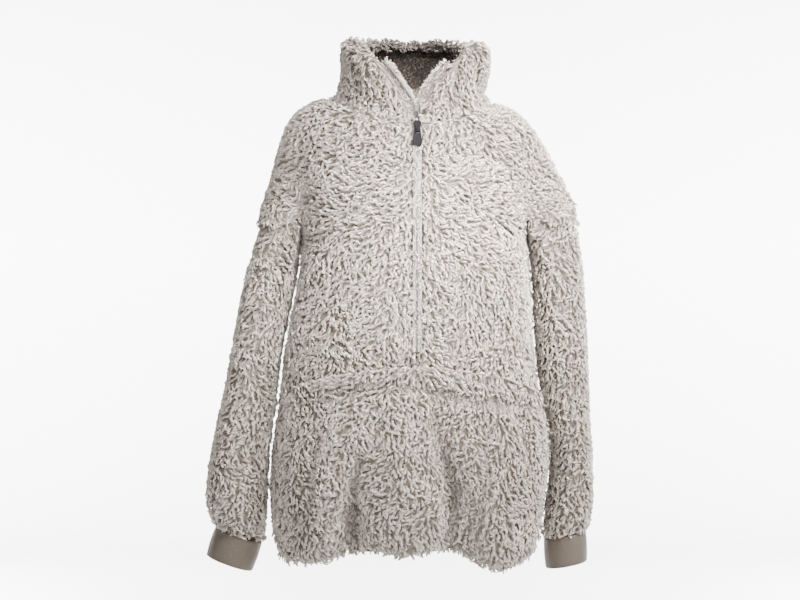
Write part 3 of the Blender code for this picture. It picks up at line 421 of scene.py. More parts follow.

# %% [markdown]
# ## Folds one by one
#
# The CAD has the largest folds. Smaller ones are drawn here as soft troughs and ridges, each
# with its own place, width and depth, read off the picture: slanting ones at the armholes,
# rings round the sleeves, and short ones in the lobes of the hem. The back gets some of its
# own, because it isn't seen but is the same cloth. Places are in millimetres, as the
# garment is seen from the front, and a negative depth is a ridge.

# %% Folds one by one
Fold = namedtuple("Fold", "piece face x0 z0 x1 z1 width depth")  # face -1 is the front
RUN_OUT = 0.35  # a fold fades away past each end, over this share of its length
FADE = 2.2  # how steeply it does
TURNED = 0.05  # a fold reaches only points that face its way by this cosine
FOLDS = (
    Fold("sleeve_right", -1, -250, -190, -190, -198, 9, 3.0),
    Fold("sleeve_right", -1, -252, -226, -185, -238, 8, 2.6),
    Fold("sleeve_right", 1, -250, -206, -195, -214, 10, 3.0),
    Fold("sleeve_right", -1, -262, -330, -215, -310, 11, 2.0),
    Fold("sleeve_right", -1, -280, -424, -232, -402, 12, 2.2),
    Fold("sleeve_right", 1, -275, -390, -228, -412, 12, 2.4),
    Fold("sleeve_right", -1, -298, -560, -250, -545, 14, 2.0),
    Fold("sleeve_right", 1, -300, -520, -255, -540, 12, 2.0),
    Fold("sleeve_right", -1, -305, -612, -262, -628, 10, -1.6),
    Fold("sleeve_left", -1, 188, -168, 208, -206, 8, 3.0),
    Fold("sleeve_left", -1, 205, -228, 246, -216, 9, 2.4),
    Fold("sleeve_left", -1, 196, -300, 240, -322, 12, 2.2),
    Fold("sleeve_left", 1, 196, -236, 245, -252, 11, 2.6),
    Fold("sleeve_left", -1, 205, -430, 255, -410, 12, 2.0),
    Fold("sleeve_left", 1, 205, -400, 252, -380, 12, 2.2),
    Fold("sleeve_left", -1, 210, -560, 262, -575, 13, 2.0),
    Fold("sleeve_left", -1, 214, -626, 262, -612, 10, -1.6),
    Fold("front", -1, -168, -150, -120, -170, 9, 2.4),
    Fold("front", -1, -165, -215, -105, -182, 10, 2.0),
    Fold("front", -1, -178, -300, -120, -268, 12, 2.2),
    Fold("front", -1, -176, -372, -110, -330, 12, 2.0),
    Fold("front", -1, 100, -128, 160, -150, 11, 2.0),
    Fold("front", -1, 60, -250, 120, -330, 13, 2.2),
    Fold("front", -1, 120, -330, 172, -382, 12, 2.2),
    Fold("front", -1, 20, -290, 58, -392, 12, 2.6),
    Fold("front", -1, 80, -200, 140, -220, 14, -1.8),
    Fold("pocket", -1, 20, -438, 41, -531, 9, 6.0),
    Fold("pocket", -1, 41, -531, 53, -590, 8, 10.0),
    Fold("pocket", -1, 53, -590, 45, -690, 9, 11.0),
    Fold("pocket", -1, -82, -530, -98, -608, 8, 8.5),
    Fold("pocket", -1, -98, -608, -94, -690, 8, 11.0),
    Fold("pocket", -1, -179, -453, -85, -432, 6, 6.0),
    Fold("pocket", -1, -85, -432, 5, -428, 6, 6.0),
    Fold("pocket", -1, 5, -428, 48, -440, 6, 6.0),
    Fold("pocket", -1, 48, -440, 181, -459, 6, 6.0),
    Fold("pocket", -1, -150, -470, -172, -620, 12, 2.4),
    Fold("pocket", -1, 100, -470, 92, -640, 14, 2.4),
    Fold("pocket", -1, 150, -450, 170, -560, 12, 2.2),
    Fold("pocket", -1, -60, -450, -40, -560, 15, 2.2),
    Fold("pocket", -1, -10, -560, 4, -660, 13, -2.0),
    Fold("pocket", -1, -120, -560, -130, -660, 13, -2.0),
    Fold("back", 1, -150, -160, -90, -190, 12, 3.0),
    Fold("back", 1, 150, -165, 92, -200, 12, 3.0),
    Fold("back", 1, -120, -330, -150, -430, 14, 2.6),
    Fold("back", 1, 130, -300, 150, -420, 13, 2.6),
    Fold("back", 1, -20, -480, -4, -620, 14, 2.8),
    Fold("back", 1, 10, -120, 60, -132, 14, -2.0),
    Fold("hood_right", -1, -96, 62, -88, 8, 8, 2.6),
    Fold("hood_right", -1, -62, 40, -54, -20, 9, 2.2),
    Fold("hood_left", -1, 92, 70, 98, 10, 8, 2.8),
    Fold("hood_left", -1, 60, 30, 70, -16, 9, 2.4),
    Fold("hood_right", 1, -70, 20, -60, -70, 11, 2.6),
    Fold("hood_left", 1, 64, 10, 50, -76, 11, 2.6),
)


def fold_depth(name, point, outward):
    """How far the folds push a point of this node inwards."""
    depth = 0.0
    for fold in FOLDS:
        if fold.piece != name or outward.y * fold.face < TURNED:
            continue
        start = Vector((fold.x0, fold.z0)) * MM
        line = Vector((fold.x1, fold.z1)) * MM - start
        place = Vector((point.x, point.z)) - start
        share = place.dot(line) / line.length_squared
        if not -RUN_OUT < share < 1 + RUN_OUT:
            continue
        off = (place - line * min(max(share, 0), 1)).length / (fold.width * MM)
        ends = min(1.0, FADE * (share + RUN_OUT), FADE * (1 + RUN_OUT - share))
        depth += fold.depth * MM * max(ends, 0) * np.exp(-off * off)
    return depth


print("folds:", len(FOLDS))

# %% [markdown]
# ## The backing shells
#
# A shell of knitted backing stands for each CAD wall. It starts as the wall's own mesh, is
# made finer and rounder, and its outer side is set back below the pile's surface, so that
# what grows from it ends where the CAD ends. The folds move both of its sides together.

# %% The backing shells
made_shells = {}
RIM_SHARE = 0.3  # near a seam the backing comes up, so that no gap shows between two pieces
TOUCHED = 0.01  # a point whose outer faces' normals add up to this much lies on the outer side


def add_piece(name, mesh, finish):
    """An object with this mesh and finish, which rides with the garment."""
    mesh.materials.clear()
    mesh.materials.append(finish)
    made = bpy.data.objects.new(name, mesh)
    bpy.context.scene.collection.objects.link(made)
    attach(made, "garment")
    return made


def finer_mesh(mesh, levels):
    """The mesh subdivided this many times, which also rounds it."""
    scratch = bpy.data.objects.new("scratch", mesh)
    bpy.context.scene.collection.objects.link(scratch)
    finer = scratch.modifiers.new("finer", "SUBSURF")
    finer.levels = levels
    finer.render_levels = levels
    evaluated = scratch.evaluated_get(bpy.context.evaluated_depsgraph_get())
    made = bpy.data.meshes.new_from_object(evaluated)
    bpy.data.objects.remove(scratch)
    return made


def shell(name, finish, setback, levels=1):
    """The backing that stands for a CAD node. Returns its object, and keeps its outer side."""
    body = closed_mesh(name)
    facing = sides(body, AWAY.get(name, from_middle))
    layer = body.faces.layers.int.new("facing")
    crease = body.edges.layers.float.new("crease_edge")
    for face in body.faces:
        face[layer] = int(facing[face.index])
    for edge in body.edges:
        if len({face[layer] for face in edge.link_faces}) > 1:
            edge[crease] = 1.0
    mesh = bpy.data.meshes.new(name + "_cloth")
    body.to_mesh(mesh)
    body.free()
    if levels:
        mesh = finer_mesh(mesh, levels)
    values = np.zeros(len(mesh.polygons), np.int32)
    mesh.attributes["facing"].data.foreach_get("value", values)
    outer, inner = ([Vector((0, 0, 0)) for _ in mesh.vertices] for _ in range(2))
    on_rim = np.zeros(len(mesh.vertices), bool)
    for polygon, value in zip(mesh.polygons, values):
        for v in polygon.vertices:
            if value > 0:
                outer[v] += polygon.normal
            elif value < 0:
                inner[v] -= polygon.normal
            else:
                on_rim[v] = True
    for v, above, below, rim in zip(mesh.vertices, outer, inner, on_rim):
        outside = above.length > TOUCHED
        outward = (above if outside else below).normalized()
        v.co -= outward * fold_depth(name, v.co, outward)
        if outside:
            v.co -= outward * setback * (RIM_SHARE if rim else 1.0)
    mesh.update()
    for polygon in mesh.polygons:
        polygon.use_smooth = levels > 0
    made = add_piece(name + "_cloth", mesh, finish)
    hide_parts(name)
    made_shells[name] = (made, values)
    return made


SETBACK = 6.5 * MM
PILE_NODES = ("front", "back", "pocket", "sleeve_left", "sleeve_right", "hood_left", "hood_right")
for name in PILE_NODES:
    shell(name, backing, SETBACK)
    kinds = made_shells[name][1]
    print(name, "outer, inner and rim faces", [int((kinds == kind).sum()) for kind in (1, -1, 0)])

# %% [markdown]
# ## Where the tufts stand
#
# Tufts stand at random but never too close, as brushed pile does. Points are thrown on the
# outer side and the rims of a shell by area, and those too near to one that is kept are
# dropped. A tuft is left out where another piece lies right over it, because it would only
# push through: under the pocket, for one.


# %% Where the tufts stand
TRIES = 2.6  # points thrown for each square of the spacing
LIFT = 2 * MM  # a ray to a piece above starts this far over the cloth
MARGIN = 4  # and runs this many millimetres past the reach in the table of covers
SEWN = 3 * MM  # a rim this near another piece is sewn to it


def surface(name, wanted=(0, 1)):
    """A shell's triangles of the wanted kinds: corner points, corner normals, areas and kinds.
    The kinds are 1 for the outer side, 0 for a rim and -1 for the inner side."""
    made, kinds = made_shells[name]
    mesh = made.data
    mesh.calc_loop_triangles()
    points = np.array([v.co for v in mesh.vertices])
    normals = np.array([v.normal for v in mesh.vertices])
    triangles = np.array([t.vertices for t in mesh.loop_triangles])
    owner = np.array([t.polygon_index for t in mesh.loop_triangles])
    chosen = np.isin(kinds[owner], wanted)
    triangles = triangles[chosen]
    corners = points[triangles]
    crosses = np.cross(corners[:, 1] - corners[:, 0], corners[:, 2] - corners[:, 0])
    areas = np.linalg.norm(crosses, axis=1) / 2
    return corners, normals[triangles], areas, kinds[owner][chosen]


def scatter(corners, normals, areas, kinds, spacing):
    """Points at least spacing apart, with the normals and the kind of face there."""
    count = int(areas.sum() / spacing**2 * TRIES)
    chosen = rng.choice(len(areas), count, p=areas / areas.sum())
    a, b = rng.random((2, count, 1))
    a, b = np.where(a + b > 1, 1 - a, a), np.where(a + b > 1, 1 - b, b)
    weights = np.concatenate([1 - a - b, a, b], axis=1)[:, :, None]
    points = (corners[chosen] * weights).sum(1)
    outward = (normals[chosen] * weights).sum(1)
    outward /= np.linalg.norm(outward, axis=1, keepdims=True)
    cells = {}
    kept = []
    grid = np.floor(points / spacing).astype(int)
    for i, (cell, point) in enumerate(zip(map(tuple, grid), points)):
        near = (
            j
            for dx in (-1, 0, 1)
            for dy in (-1, 0, 1)
            for dz in (-1, 0, 1)
            for j in cells.get((cell[0] + dx, cell[1] + dy, cell[2] + dz), ())
        )
        if all(np.dot(point - points[j], point - points[j]) > spacing * spacing for j in near):
            cells.setdefault(cell, []).append(i)
            kept.append(i)
    return points[kept], outward[kept], kinds[chosen][kept]


def uncovered(points, normals, kinds, name, covers, away):
    """Where no piece lies right over the cloth. On a rim sewn to another, tufts stand outwards."""
    trees = {other: search_tree(part.data) for other, part in frame["nodes"].items() if other != name}
    sewn_to = [tree for other, tree in trees.items() if other != "hood_lining"]
    free = np.ones(len(points), bool)
    for i, (point, normal, kind) in enumerate(zip(points, normals, kinds)):
        start = Vector(point + normal * LIFT)
        if kind > 0:
            free[i] = all(
                trees[cover].ray_cast(start, Vector(normal), (reach + MARGIN) * MM)[0] is None
                for cover, reach in covers.items()
            )
        elif any(tree.find_nearest(Vector(point), SEWN)[0] for tree in sewn_to):
            normals[i] = away(Vector(point))
    return free


print("scatter ready")

# %% [markdown]
# ## Which way the tufts lie
#
# Which way a tuft leans comes from a smooth field over the garment: mostly down, swirling by
# up to a right angle over a few centimetres, and lying more level across the chest, as the
# picture shows. Right beside the zip the pile is combed straight down.

# %% Which way the tufts lie
SWIRLS = ((1.7, 45 * MM, 3.0), (0.9, 12 * MM, 9.0))  # radians, size, and a shift of the noise
STRAY = 0.28  # in radians, how far a single tuft strays from its neighbours
CHEST_LEVEL, CHEST_SPAN = -150 * MM, 100 * MM
CHEST_TURN = 1.25  # in radians, how far the pile turns from hanging at that level
ZIP_SIDE, ZIP_BLEND, ZIP_SWIRL = 9 * MM, 16 * MM, 0.12  # nearer than this, little of it swirls
STEEP = 0.2  # where cloth is this near to level, down gives no direction along it


def smooth_noise(points, size, shift):
    return np.array([noise.noise(Vector(p / size) + Vector((shift, 0, 0))) for p in points])


def lean(name, points, normals):
    """The direction that tufts lie in, along the cloth."""
    swirl = sum(turn * smooth_noise(points, size, shift) for turn, size, shift in SWIRLS)
    if name == "front":
        chest = np.exp(-(((points[:, 2] - CHEST_LEVEL) / CHEST_SPAN) ** 2))
        swirl += np.sign(points[:, 0]) * CHEST_TURN * chest
    swirl += rng.normal(0, STRAY, len(points))
    if name == "front":
        swirl *= np.clip((np.abs(points[:, 0]) - ZIP_SIDE) / ZIP_BLEND, ZIP_SWIRL, 1)
    down = np.tile([0.0, 0.0, -1.0], (len(points), 1))
    flat = down - normals * (down * normals).sum(1)[:, None]
    weak = np.linalg.norm(flat, axis=1) < STEEP
    flat[weak] += np.cross(normals[weak], [1.0, 0.0, 0.0])
    flat /= np.linalg.norm(flat, axis=1)[:, None]
    side = np.cross(normals, flat)
    return flat * np.cos(swirl)[:, None] + side * np.sin(swirl)[:, None]


print("the pile's swirls, in millimetres:", [round(size / MM) for _, size, _ in SWIRLS])

# %% [markdown]
# ## The tufts
#
# A tuft is a bent, tapered bundle with three sides: it leaves the backing at a slope, widens,
# and curls over at its tip, with a sideways wave like a hair's. It could be a strand of
# Blender's hair, but a mesh keeps its shape in every program that opens the model.

# %% The tufts
STEPS = np.array([0.0, 0.22, 0.48, 0.76, 1.0])  # places along a tuft
WIDTHS = np.array([0.62, 1.0, 0.98, 0.66, 0.0])  # its width there, as a share of the widest
ANGLES = np.radians([90.0, 210.0, 330.0])  # where its three corners are, seen along it
ROUND = (0.0, 0.33, 0.66)  # the same for the fibres' pattern
FLATNESS = 0.62  # its thickness as a share of its width
CLUMPING, CLUMP = 0.28, 13 * MM  # heights vary this much over patches of this size
WAVE, WAVE_TURNS = 0.42, 5.6  # its sideways wave, as a share of its width and in radians
CURL = 0.30  # how far its tip comes down, as a share of its height


def tuft_points(points, normals, towards, length, width, height):
    """The corner points of every tuft, ring by ring: an array of tufts by points by axes."""
    count = len(points)
    side = np.cross(normals, towards)
    size = rng.uniform(0.75, 1.25, (count, 1))
    clump = 1 + CLUMPING * smooth_noise(points, CLUMP, 5.0)[:, None]
    long = length * size
    tall = height * clump * rng.uniform(0.8, 1.12, (count, 1))
    wave = rng.uniform(0.6, 1.3, (count, 1)) * width * WAVE * rng.choice([-1, 1], (count, 1))
    phase = rng.uniform(0, 6.28, (count, 1))
    rings = []
    for step, wide in zip(STEPS, WIDTHS):
        forward = long * (0.75 * step + 0.08 * np.sin(3.1 * step))
        up = tall * (np.sin(min(1.0, 1.35 * step) * 1.57) - CURL * step**4)
        sway = wave * (np.sin(phase + WAVE_TURNS * step) - np.sin(phase))
        middle = points + towards * forward + normals * up + side * sway
        if wide == 0:
            rings.append(middle[:, None])
            continue
        radius = width / 2 * wide * size
        around = side[:, None] * np.cos(ANGLES)[None, :, None]
        around = around + normals[:, None] * (FLATNESS * np.sin(ANGLES))[None, :, None]
        rings.append(middle[:, None] + around * radius[:, None])
    return np.concatenate(rings, axis=1)


def tuft_faces(per):
    """The triangles of one tuft that has this many points: its three sides and its tip."""
    faces = []
    for ring in range(0, 3 * (len(STEPS) - 2), 3):
        for k, m in ((0, 1), (1, 2), (2, 0)):
            faces += [(ring + k, ring + m, ring + 3 + m), (ring + k, ring + 3 + m, ring + 3 + k)]
    return np.array(faces + [(per - 4 + k, per - 4 + (k + 1) % 3, per - 1) for k in range(3)])


def tufts(name, points, normals, length, width, height, finish, part=0, towards=None, shade=1.0):
    """One mesh of tufts. length, width and height are of a middling tuft; shade scales its colour: painted
    shade in folds, painted light in the hood's lining.
    """
    if towards is None:
        towards = lean(name, points, normals)
    vertices = tuft_points(points, normals, towards, length, width, height)
    count, per = vertices.shape[:2]
    faces = (tuft_faces(per)[None] + per * np.arange(count)[:, None, None]).reshape(-1, 3)
    mesh = bpy.data.meshes.new(f"{name}_pile{part}")
    mesh.vertices.add(count * per)
    mesh.vertices.foreach_set("co", vertices.reshape(-1).astype(np.float32))
    mesh.loops.add(faces.size)
    mesh.loops.foreach_set("vertex_index", faces.reshape(-1).astype(np.int32))
    mesh.polygons.add(len(faces))
    mesh.polygons.foreach_set("loop_start", np.arange(0, faces.size, 3, dtype=np.int32))
    mesh.update(calc_edges=True)
    mesh.validate()
    mesh.polygons.foreach_set("use_smooth", np.ones(len(faces), bool))
    along = np.concatenate([np.repeat(STEPS[:-1], 3), [1.0]])
    # each tuft's random tone, times shade: painted shade in folds and painted light in the hood's lining
    tone_and_painted_light = shade * rng.normal(1.0, 0.09, count) * (1 + 0.05 * smooth_noise(points, 0.05, 1.0))
    fibre = np.zeros((count, per, 3), np.float32)
    fibre[:, :, 0] = np.concatenate([np.tile(ROUND, len(STEPS) - 1), [0.5]])
    fibre[:, :, 1] = along
    fibre[:, :, 2] = rng.uniform(0, 50, (count, 1))
    for key, values in (("along", np.tile(along, count)), ("tone_and_painted_light", np.repeat(tone_and_painted_light, per))):
        values = values.astype(np.float32)
        mesh.attributes.new(key, "FLOAT", "POINT").data.foreach_set("value", values)
    mesh.attributes.new("fibre", "FLOAT_VECTOR", "POINT").data.foreach_set("vector", fibre.reshape(-1))
    return add_piece(f"{name}_pile{part}", mesh, finish)


print("points in a tuft:", 3 * (len(STEPS) - 1) + 1)

# %% [markdown]
# ## Growing the pile
#
# Every pile piece gets tufts about 5 mm wide, one every 4 mm or so, that reach about 11 mm
# along the cloth and up to the CAD wall's surface. The quick setting, used only for looking
# while working, thins them out. Pile in a fold is drawn darker, the deeper the fold, as
# painted shade. The tufts at the hood's top, behind the neck, are kept aside for later.

# %% Growing the pile
ROOM_START, ROOM_REACH = 0.2 * MM, 12 * MM  # a ray to the CAD's surface starts under the point
ROOM_UNKNOWN = 5.5 * MM  # for a ray that meets nothing
ROOM_LEAST, ROOM_MOST = 3 * MM, 7.2 * MM


def room(name, points, normals):
    """How far each point lies below the CAD wall's own surface, kept to a tuft's height."""
    tree = search_tree(frame["nodes"][name].data)
    starts = points - normals * ROOM_START
    found = [tree.ray_cast(Vector(p), Vector(n), ROOM_REACH)[3] for p, n in zip(starts, normals)]
    return np.clip([ROOM_UNKNOWN if d is None else d for d in found], ROOM_LEAST, ROOM_MOST)[:, None]


PILE_LENGTH, PILE_WIDTH = 14.5 * MM, 5.0 * MM
USUAL_SPACING = 3.85  # millimetres from tuft to tuft, on the front and the pocket
SPACING = {"back": 4.7, "hood_left": 4.1, "hood_right": 4.1, "sleeve_left": 4.0, "sleeve_right": 4.0}
COARSER = 1.0
MOST_TUFTS = 9000  # a piece with more tufts than this is split in two, left and right
# painted shade in folds: how much darker the pile is drawn for each millimetre of a fold's depth, kept
# between DARKEST and LIGHTEST
FOLD_PAINTED_SHADE = 0.062  # how much darker the pile gets for each millimetre that a fold presses it
DARKEST, LIGHTEST = 0.42, 1.1
CREST_HEIGHT, CREST_DEPTH = 88 * MM, 70 * MM  # tufts above and behind these are kept aside
CREST_SIDE, CREST_MIDDLE = 72 * MM, 3 * MM  # where they are this near to the neck's middle
COVERS = {  # which pieces may lie over a panel, and how many millimetres over it they may be
    "front": {"pocket": 11, "hood_left": 0, "hood_right": 0, "zip_tape_left": 1, "zip_tape_right": 1},
    "back": {"hood_left": 3, "hood_right": 3},
    "pocket": {},
    "sleeve_left": {"front": 2, "back": 2},
    "sleeve_right": {"front": 2, "back": 2},
    "hood_left": {"back": 4},
    "hood_right": {"back": 4},
}
pile_pieces = {}
crest = []
total = 0
for name in PILE_NODES:
    corners, corner_normals, areas, kinds = surface(name)
    spacing = SPACING.get(name, USUAL_SPACING) * COARSER * MM
    points, normals, kinds = scatter(corners, corner_normals, areas, kinds, spacing)
    free = uncovered(points, normals, kinds, name, COVERS[name], AWAY.get(name, from_middle))
    points, normals = points[free], normals[free]
    if name.startswith("hood"):
        behind = (points[:, 2] > CREST_HEIGHT) & (points[:, 1] > CREST_DEPTH)
        behind &= np.abs(points[:, 0] - CREST_MIDDLE) < CREST_SIDE
        crest.append((points[behind], normals[behind]))
        points, normals = points[~behind], normals[~behind]
    halves = np.array_split(np.argsort(points[:, 0]), 1 + len(points) // MOST_TUFTS)
    pile_pieces[name] = []
    for part, chosen in enumerate(halves):
        here, out = points[chosen], normals[chosen]
        pushed = np.array([fold_depth(name, Vector(p), Vector(n)) for p, n in zip(here, out)]) / MM
        # painted shade in the folds, darker where a fold is deeper
        shade = np.clip(1 - FOLD_PAINTED_SHADE * pushed, DARKEST, LIGHTEST)
        height = room(name, here, out)
        made = tufts(name, here, out, PILE_LENGTH, PILE_WIDTH, height, pile, part, shade=shade)
        pile_pieces[name].append(made)
    total += len(points)
    print(name, "tufts", len(points), "area", round(float(areas.sum()), 3), "square metres")
print("all tufts:", total)

# %% [markdown]
# ## The neck seam
#
# The hood's halves are sewn to the neck, and the pile there is combed over the stitches to
# hide them. So one more row of tufts stands along the hood's lower edge, at uneven heights,
# wherever a panel of the body is near.

# %% The neck seam
SEAM_REACH = 8 * MM  # the hood's edge is sewn where a panel is nearer than this
SEAM_STEP = 1.6 * MM
SEAM_LOWEST, SEAM_HIGHEST = -5, 2  # millimetres from the edge
panel_trees = [search_tree(frame["nodes"][panel].data) for panel in ("front", "back")]
seam_points, seam_normals = [], []
for name in ("hood_left", "hood_right"):
    hood, kinds = made_shells[name]
    outer_faces = [polygon for polygon, kind in zip(hood.data.polygons, kinds) if kind > 0]
    outer_vertices = {v for polygon in outer_faces for v in polygon.vertices}
    for edge in hood.data.edges:
        if not set(edge.vertices) <= outer_vertices:
            continue
        ends = [hood.data.vertices[v].co for v in edge.vertices]
        if any(all(tree.find_nearest(end, SEAM_REACH)[0] is None for tree in panel_trees) for end in ends):
            continue
        for share in np.arange(0.1, 1.0, SEAM_STEP / (ends[0] - ends[1]).length):
            uneven = Vector((0, 0, rng.uniform(SEAM_LOWEST, SEAM_HIGHEST) * MM))
            seam_points.append(ends[0].lerp(ends[1], share) + uneven)
            seam_normals.append(AWAY[name](seam_points[-1]))
seam_points, seam_normals = np.array(seam_points), np.array(seam_normals)
seam = tufts(
    "neck_seam", seam_points, seam_normals,
    length=12 * MM, width=5.0 * MM, height=4.5 * MM, finish=pile,
)
print("neck seam tufts:", len(seam_points))

# %% [markdown]
# ## The hood's lining
#
# Inside, the hood is lined with a darker fleece whose pile is short. It gets smaller tufts,
# closer to the cloth, in a taupe grey that is drawn lighter with height, as painted light in
# the shade under the hood's rim, up to its dark edge.

# %% The hood's lining
LINING_SETBACK = 3.0 * MM
LINING_SPACING = 4.5
LINING_LEVELS = [0.0, 50 * MM, 92 * MM, 102 * MM]  # above the origin
# painted light inside the hood: the lining is drawn lighter with height where its rim shades it; the last
# value is its dark top edge
LINING_SHADES = [1.15, 1.4, 1.55, 0.5]  # at these levels
shell("hood_lining", lining_backing, LINING_SETBACK)
corners, corner_normals, areas, kinds = surface("hood_lining")
points, normals, _ = scatter(corners, corner_normals, areas, kinds, LINING_SPACING * COARSER * MM)
# painted light by height inside the hood
shade = np.interp(points[:, 2], LINING_LEVELS, LINING_SHADES)
lining_tufts = tufts(
    "hood_lining", points, normals,
    length=7 * MM, width=3.6 * MM, height=2.8 * MM, finish=lining_pile, shade=shade,
)
print("lining tufts:", len(points), "area", round(float(areas.sum()), 3))

# %% [markdown]
# ## The hood's dark crest
#
# The fleece is drawn darkest along the hood's turned-over edge. That
# crest stands up behind the neck in two low humps. It takes the tufts that were kept aside
# and closer ones on the narrow edges that face the front, so that no bare cloth shows there.

# %% The hood's dark crest
EDGE_HEIGHT, EDGE_DEPTH = 97 * MM, 60 * MM  # the edges are above and behind these
EDGE_FACING = -0.3  # and face the front at least this much, by the y of their normal
EDGE_SPACING = 3.0
CREST_SHADE = 0.42
CREST_LOW, CREST_RISE = 4.0, 5.0  # a tuft's height in millimetres, and how much a hump adds
HUMPS = (-40, 38)  # where the humps are, in millimetres from the origin along x
HUMP_WIDTH = 20
for name in ("hood_left", "hood_right", "hood_lining"):
    corners, corner_normals, areas, kinds = surface(name, (-1, 0, 1))
    middles = corners.mean(1)
    crosses = np.cross(corners[:, 1] - corners[:, 0], corners[:, 2] - corners[:, 0])
    near = (middles[:, 2] > EDGE_HEIGHT) & (middles[:, 1] > EDGE_DEPTH)
    near &= crosses[:, 1] / (2 * areas) < EDGE_FACING
    spacing = EDGE_SPACING * COARSER * MM
    edge = scatter(corners[near], corner_normals[near], areas[near], kinds[near], spacing)
    crest.append(edge[:2])
    print(name, "edge tufts", len(edge[0]))
points, normals = (np.concatenate(parts) for parts in zip(*crest))
humps = sum(np.exp(-(((points[:, 0] / MM - x) / HUMP_WIDTH) ** 2)) for x in HUMPS)
height = (CREST_LOW + CREST_RISE * humps[:, None]) * MM
crest_tufts = tufts(
    "hood_crest", points, normals,
    length=9 * MM, width=5.0 * MM, height=height, finish=lining_pile, shade=CREST_SHADE,
)
print("crest tufts:", len(points))

# %% [markdown]
# ## The cuffs
#
# The cuffs are plain tubes of smooth knit, turned over and sewn into the sleeve's end. They
# are made finer and keep the CAD's form, with a few shallow pulls where the knit is gathered
# by the seam.


# %% The cuffs
PULL = 0.55 * MM  # how deep the pulls are at the seam
PULLS = 9  # how many there are round the cuff


def cuff(side):
    made = shell(f"cuff_{side}", knit, 0.0, levels=2)
    low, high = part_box(f"cuff_{side}")
    middle = (low + high) / 2
    for v in made.data.vertices:
        turn = np.arctan2(v.co.y - middle.y, v.co.x - middle.x)
        up = (v.co.z - low.z) / (high.z - low.z)
        pull = PULL * up * np.sin(PULLS * turn + 2 * np.sin(2 * turn) + 3 * up)
        away = Vector((v.co.x - middle.x, v.co.y - middle.y, 0)).normalized()
        v.co += away * pull
    return made


cuffs = {side: cuff(side) for side in ("left", "right")}
print("cuff faces:", [len(made.data.polygons) for made in cuffs.values()])

# %% [markdown]
# ## The zip's tape and teeth
#
# A metal zip has two tapes, each with teeth clamped on its edge about every 2.4 mm. Closed,
# the two rows interlock as one chain; above the slider they part and follow the collar's two
# edges. The line of the edge is read off the CAD tape, level by level, so the teeth sit on it.


# %% The zip's tape and teeth
def edge_line(side):
    """Points along the toothed edge of a tape, from the bottom up."""
    mesh = closed_mesh(f"zip_tape_{side}")
    ends = np.array([[v.co for v in edge.verts] for edge in mesh.edges])
    mesh.free()
    line = []
    for level in np.arange(ends[:, :, 2].min() + MM, ends[:, :, 2].max() - MM, MM):
        crossing = ends[(ends[:, 0, 2] - level) * (ends[:, 1, 2] - level) < 0]
        share = (level - crossing[:, 0, 2]) / (crossing[:, 1, 2] - crossing[:, 0, 2])
        points = crossing[:, 0] + (crossing[:, 1] - crossing[:, 0]) * share[:, None]
        line.append(points[np.argmin(np.abs(points[:, 0]) + points[:, 1])])
    return np.array(line)


def along_line(line, pitch, start):
    """Points and directions every pitch along a line."""
    steps = np.linalg.norm(np.diff(line, axis=0), axis=1)
    reached = np.concatenate([[0], np.cumsum(steps)])
    places = np.arange(start, reached[-1], pitch)
    points = np.stack([np.interp(places, reached, line[:, k]) for k in range(3)], axis=1)
    ahead = np.stack([np.interp(places + 3 * MM, reached, line[:, k]) for k in range(3)], axis=1)
    behind = np.stack([np.interp(places - 3 * MM, reached, line[:, k]) for k in range(3)], axis=1)
    along = ahead - behind
    return points, along / np.linalg.norm(along, axis=1)[:, None]


BLOCK_BEVEL = 0.18 * MM


def blocks(name, places, finish, head=1.0):
    """One mesh of small six-sided blocks. Each place has a middle and three directions. head
    is a block's height at the end that the first one points to, as a share of the other's."""
    corners = np.array([(x, y, z) for x in (-1, 1) for y in (-1, 1) for z in (-1, 1)]) / 2
    corners[corners[:, 0] > 0, 2] *= head
    faces = [(0, 1, 3, 2), (4, 6, 7, 5), (0, 4, 5, 1), (2, 3, 7, 6), (0, 2, 6, 4), (1, 5, 7, 3)]
    vertices, quads = [], []
    for middle, axes in places:
        base = len(vertices)
        vertices += [middle + axes.T @ corner for corner in corners]
        quads += [tuple(base + i for i in face) for face in faces]
    mesh = bpy.data.meshes.new(name)
    mesh.from_pydata([tuple(v) for v in vertices], [], quads)
    made = bmesh.new()
    made.from_mesh(mesh)
    bmesh.ops.recalc_face_normals(made, faces=made.faces)
    bmesh.ops.bevel(made, geom=made.edges, offset=BLOCK_BEVEL, segments=1, affect="EDGES")
    made.to_mesh(mesh)
    made.free()
    return add_piece(name, mesh, finish)


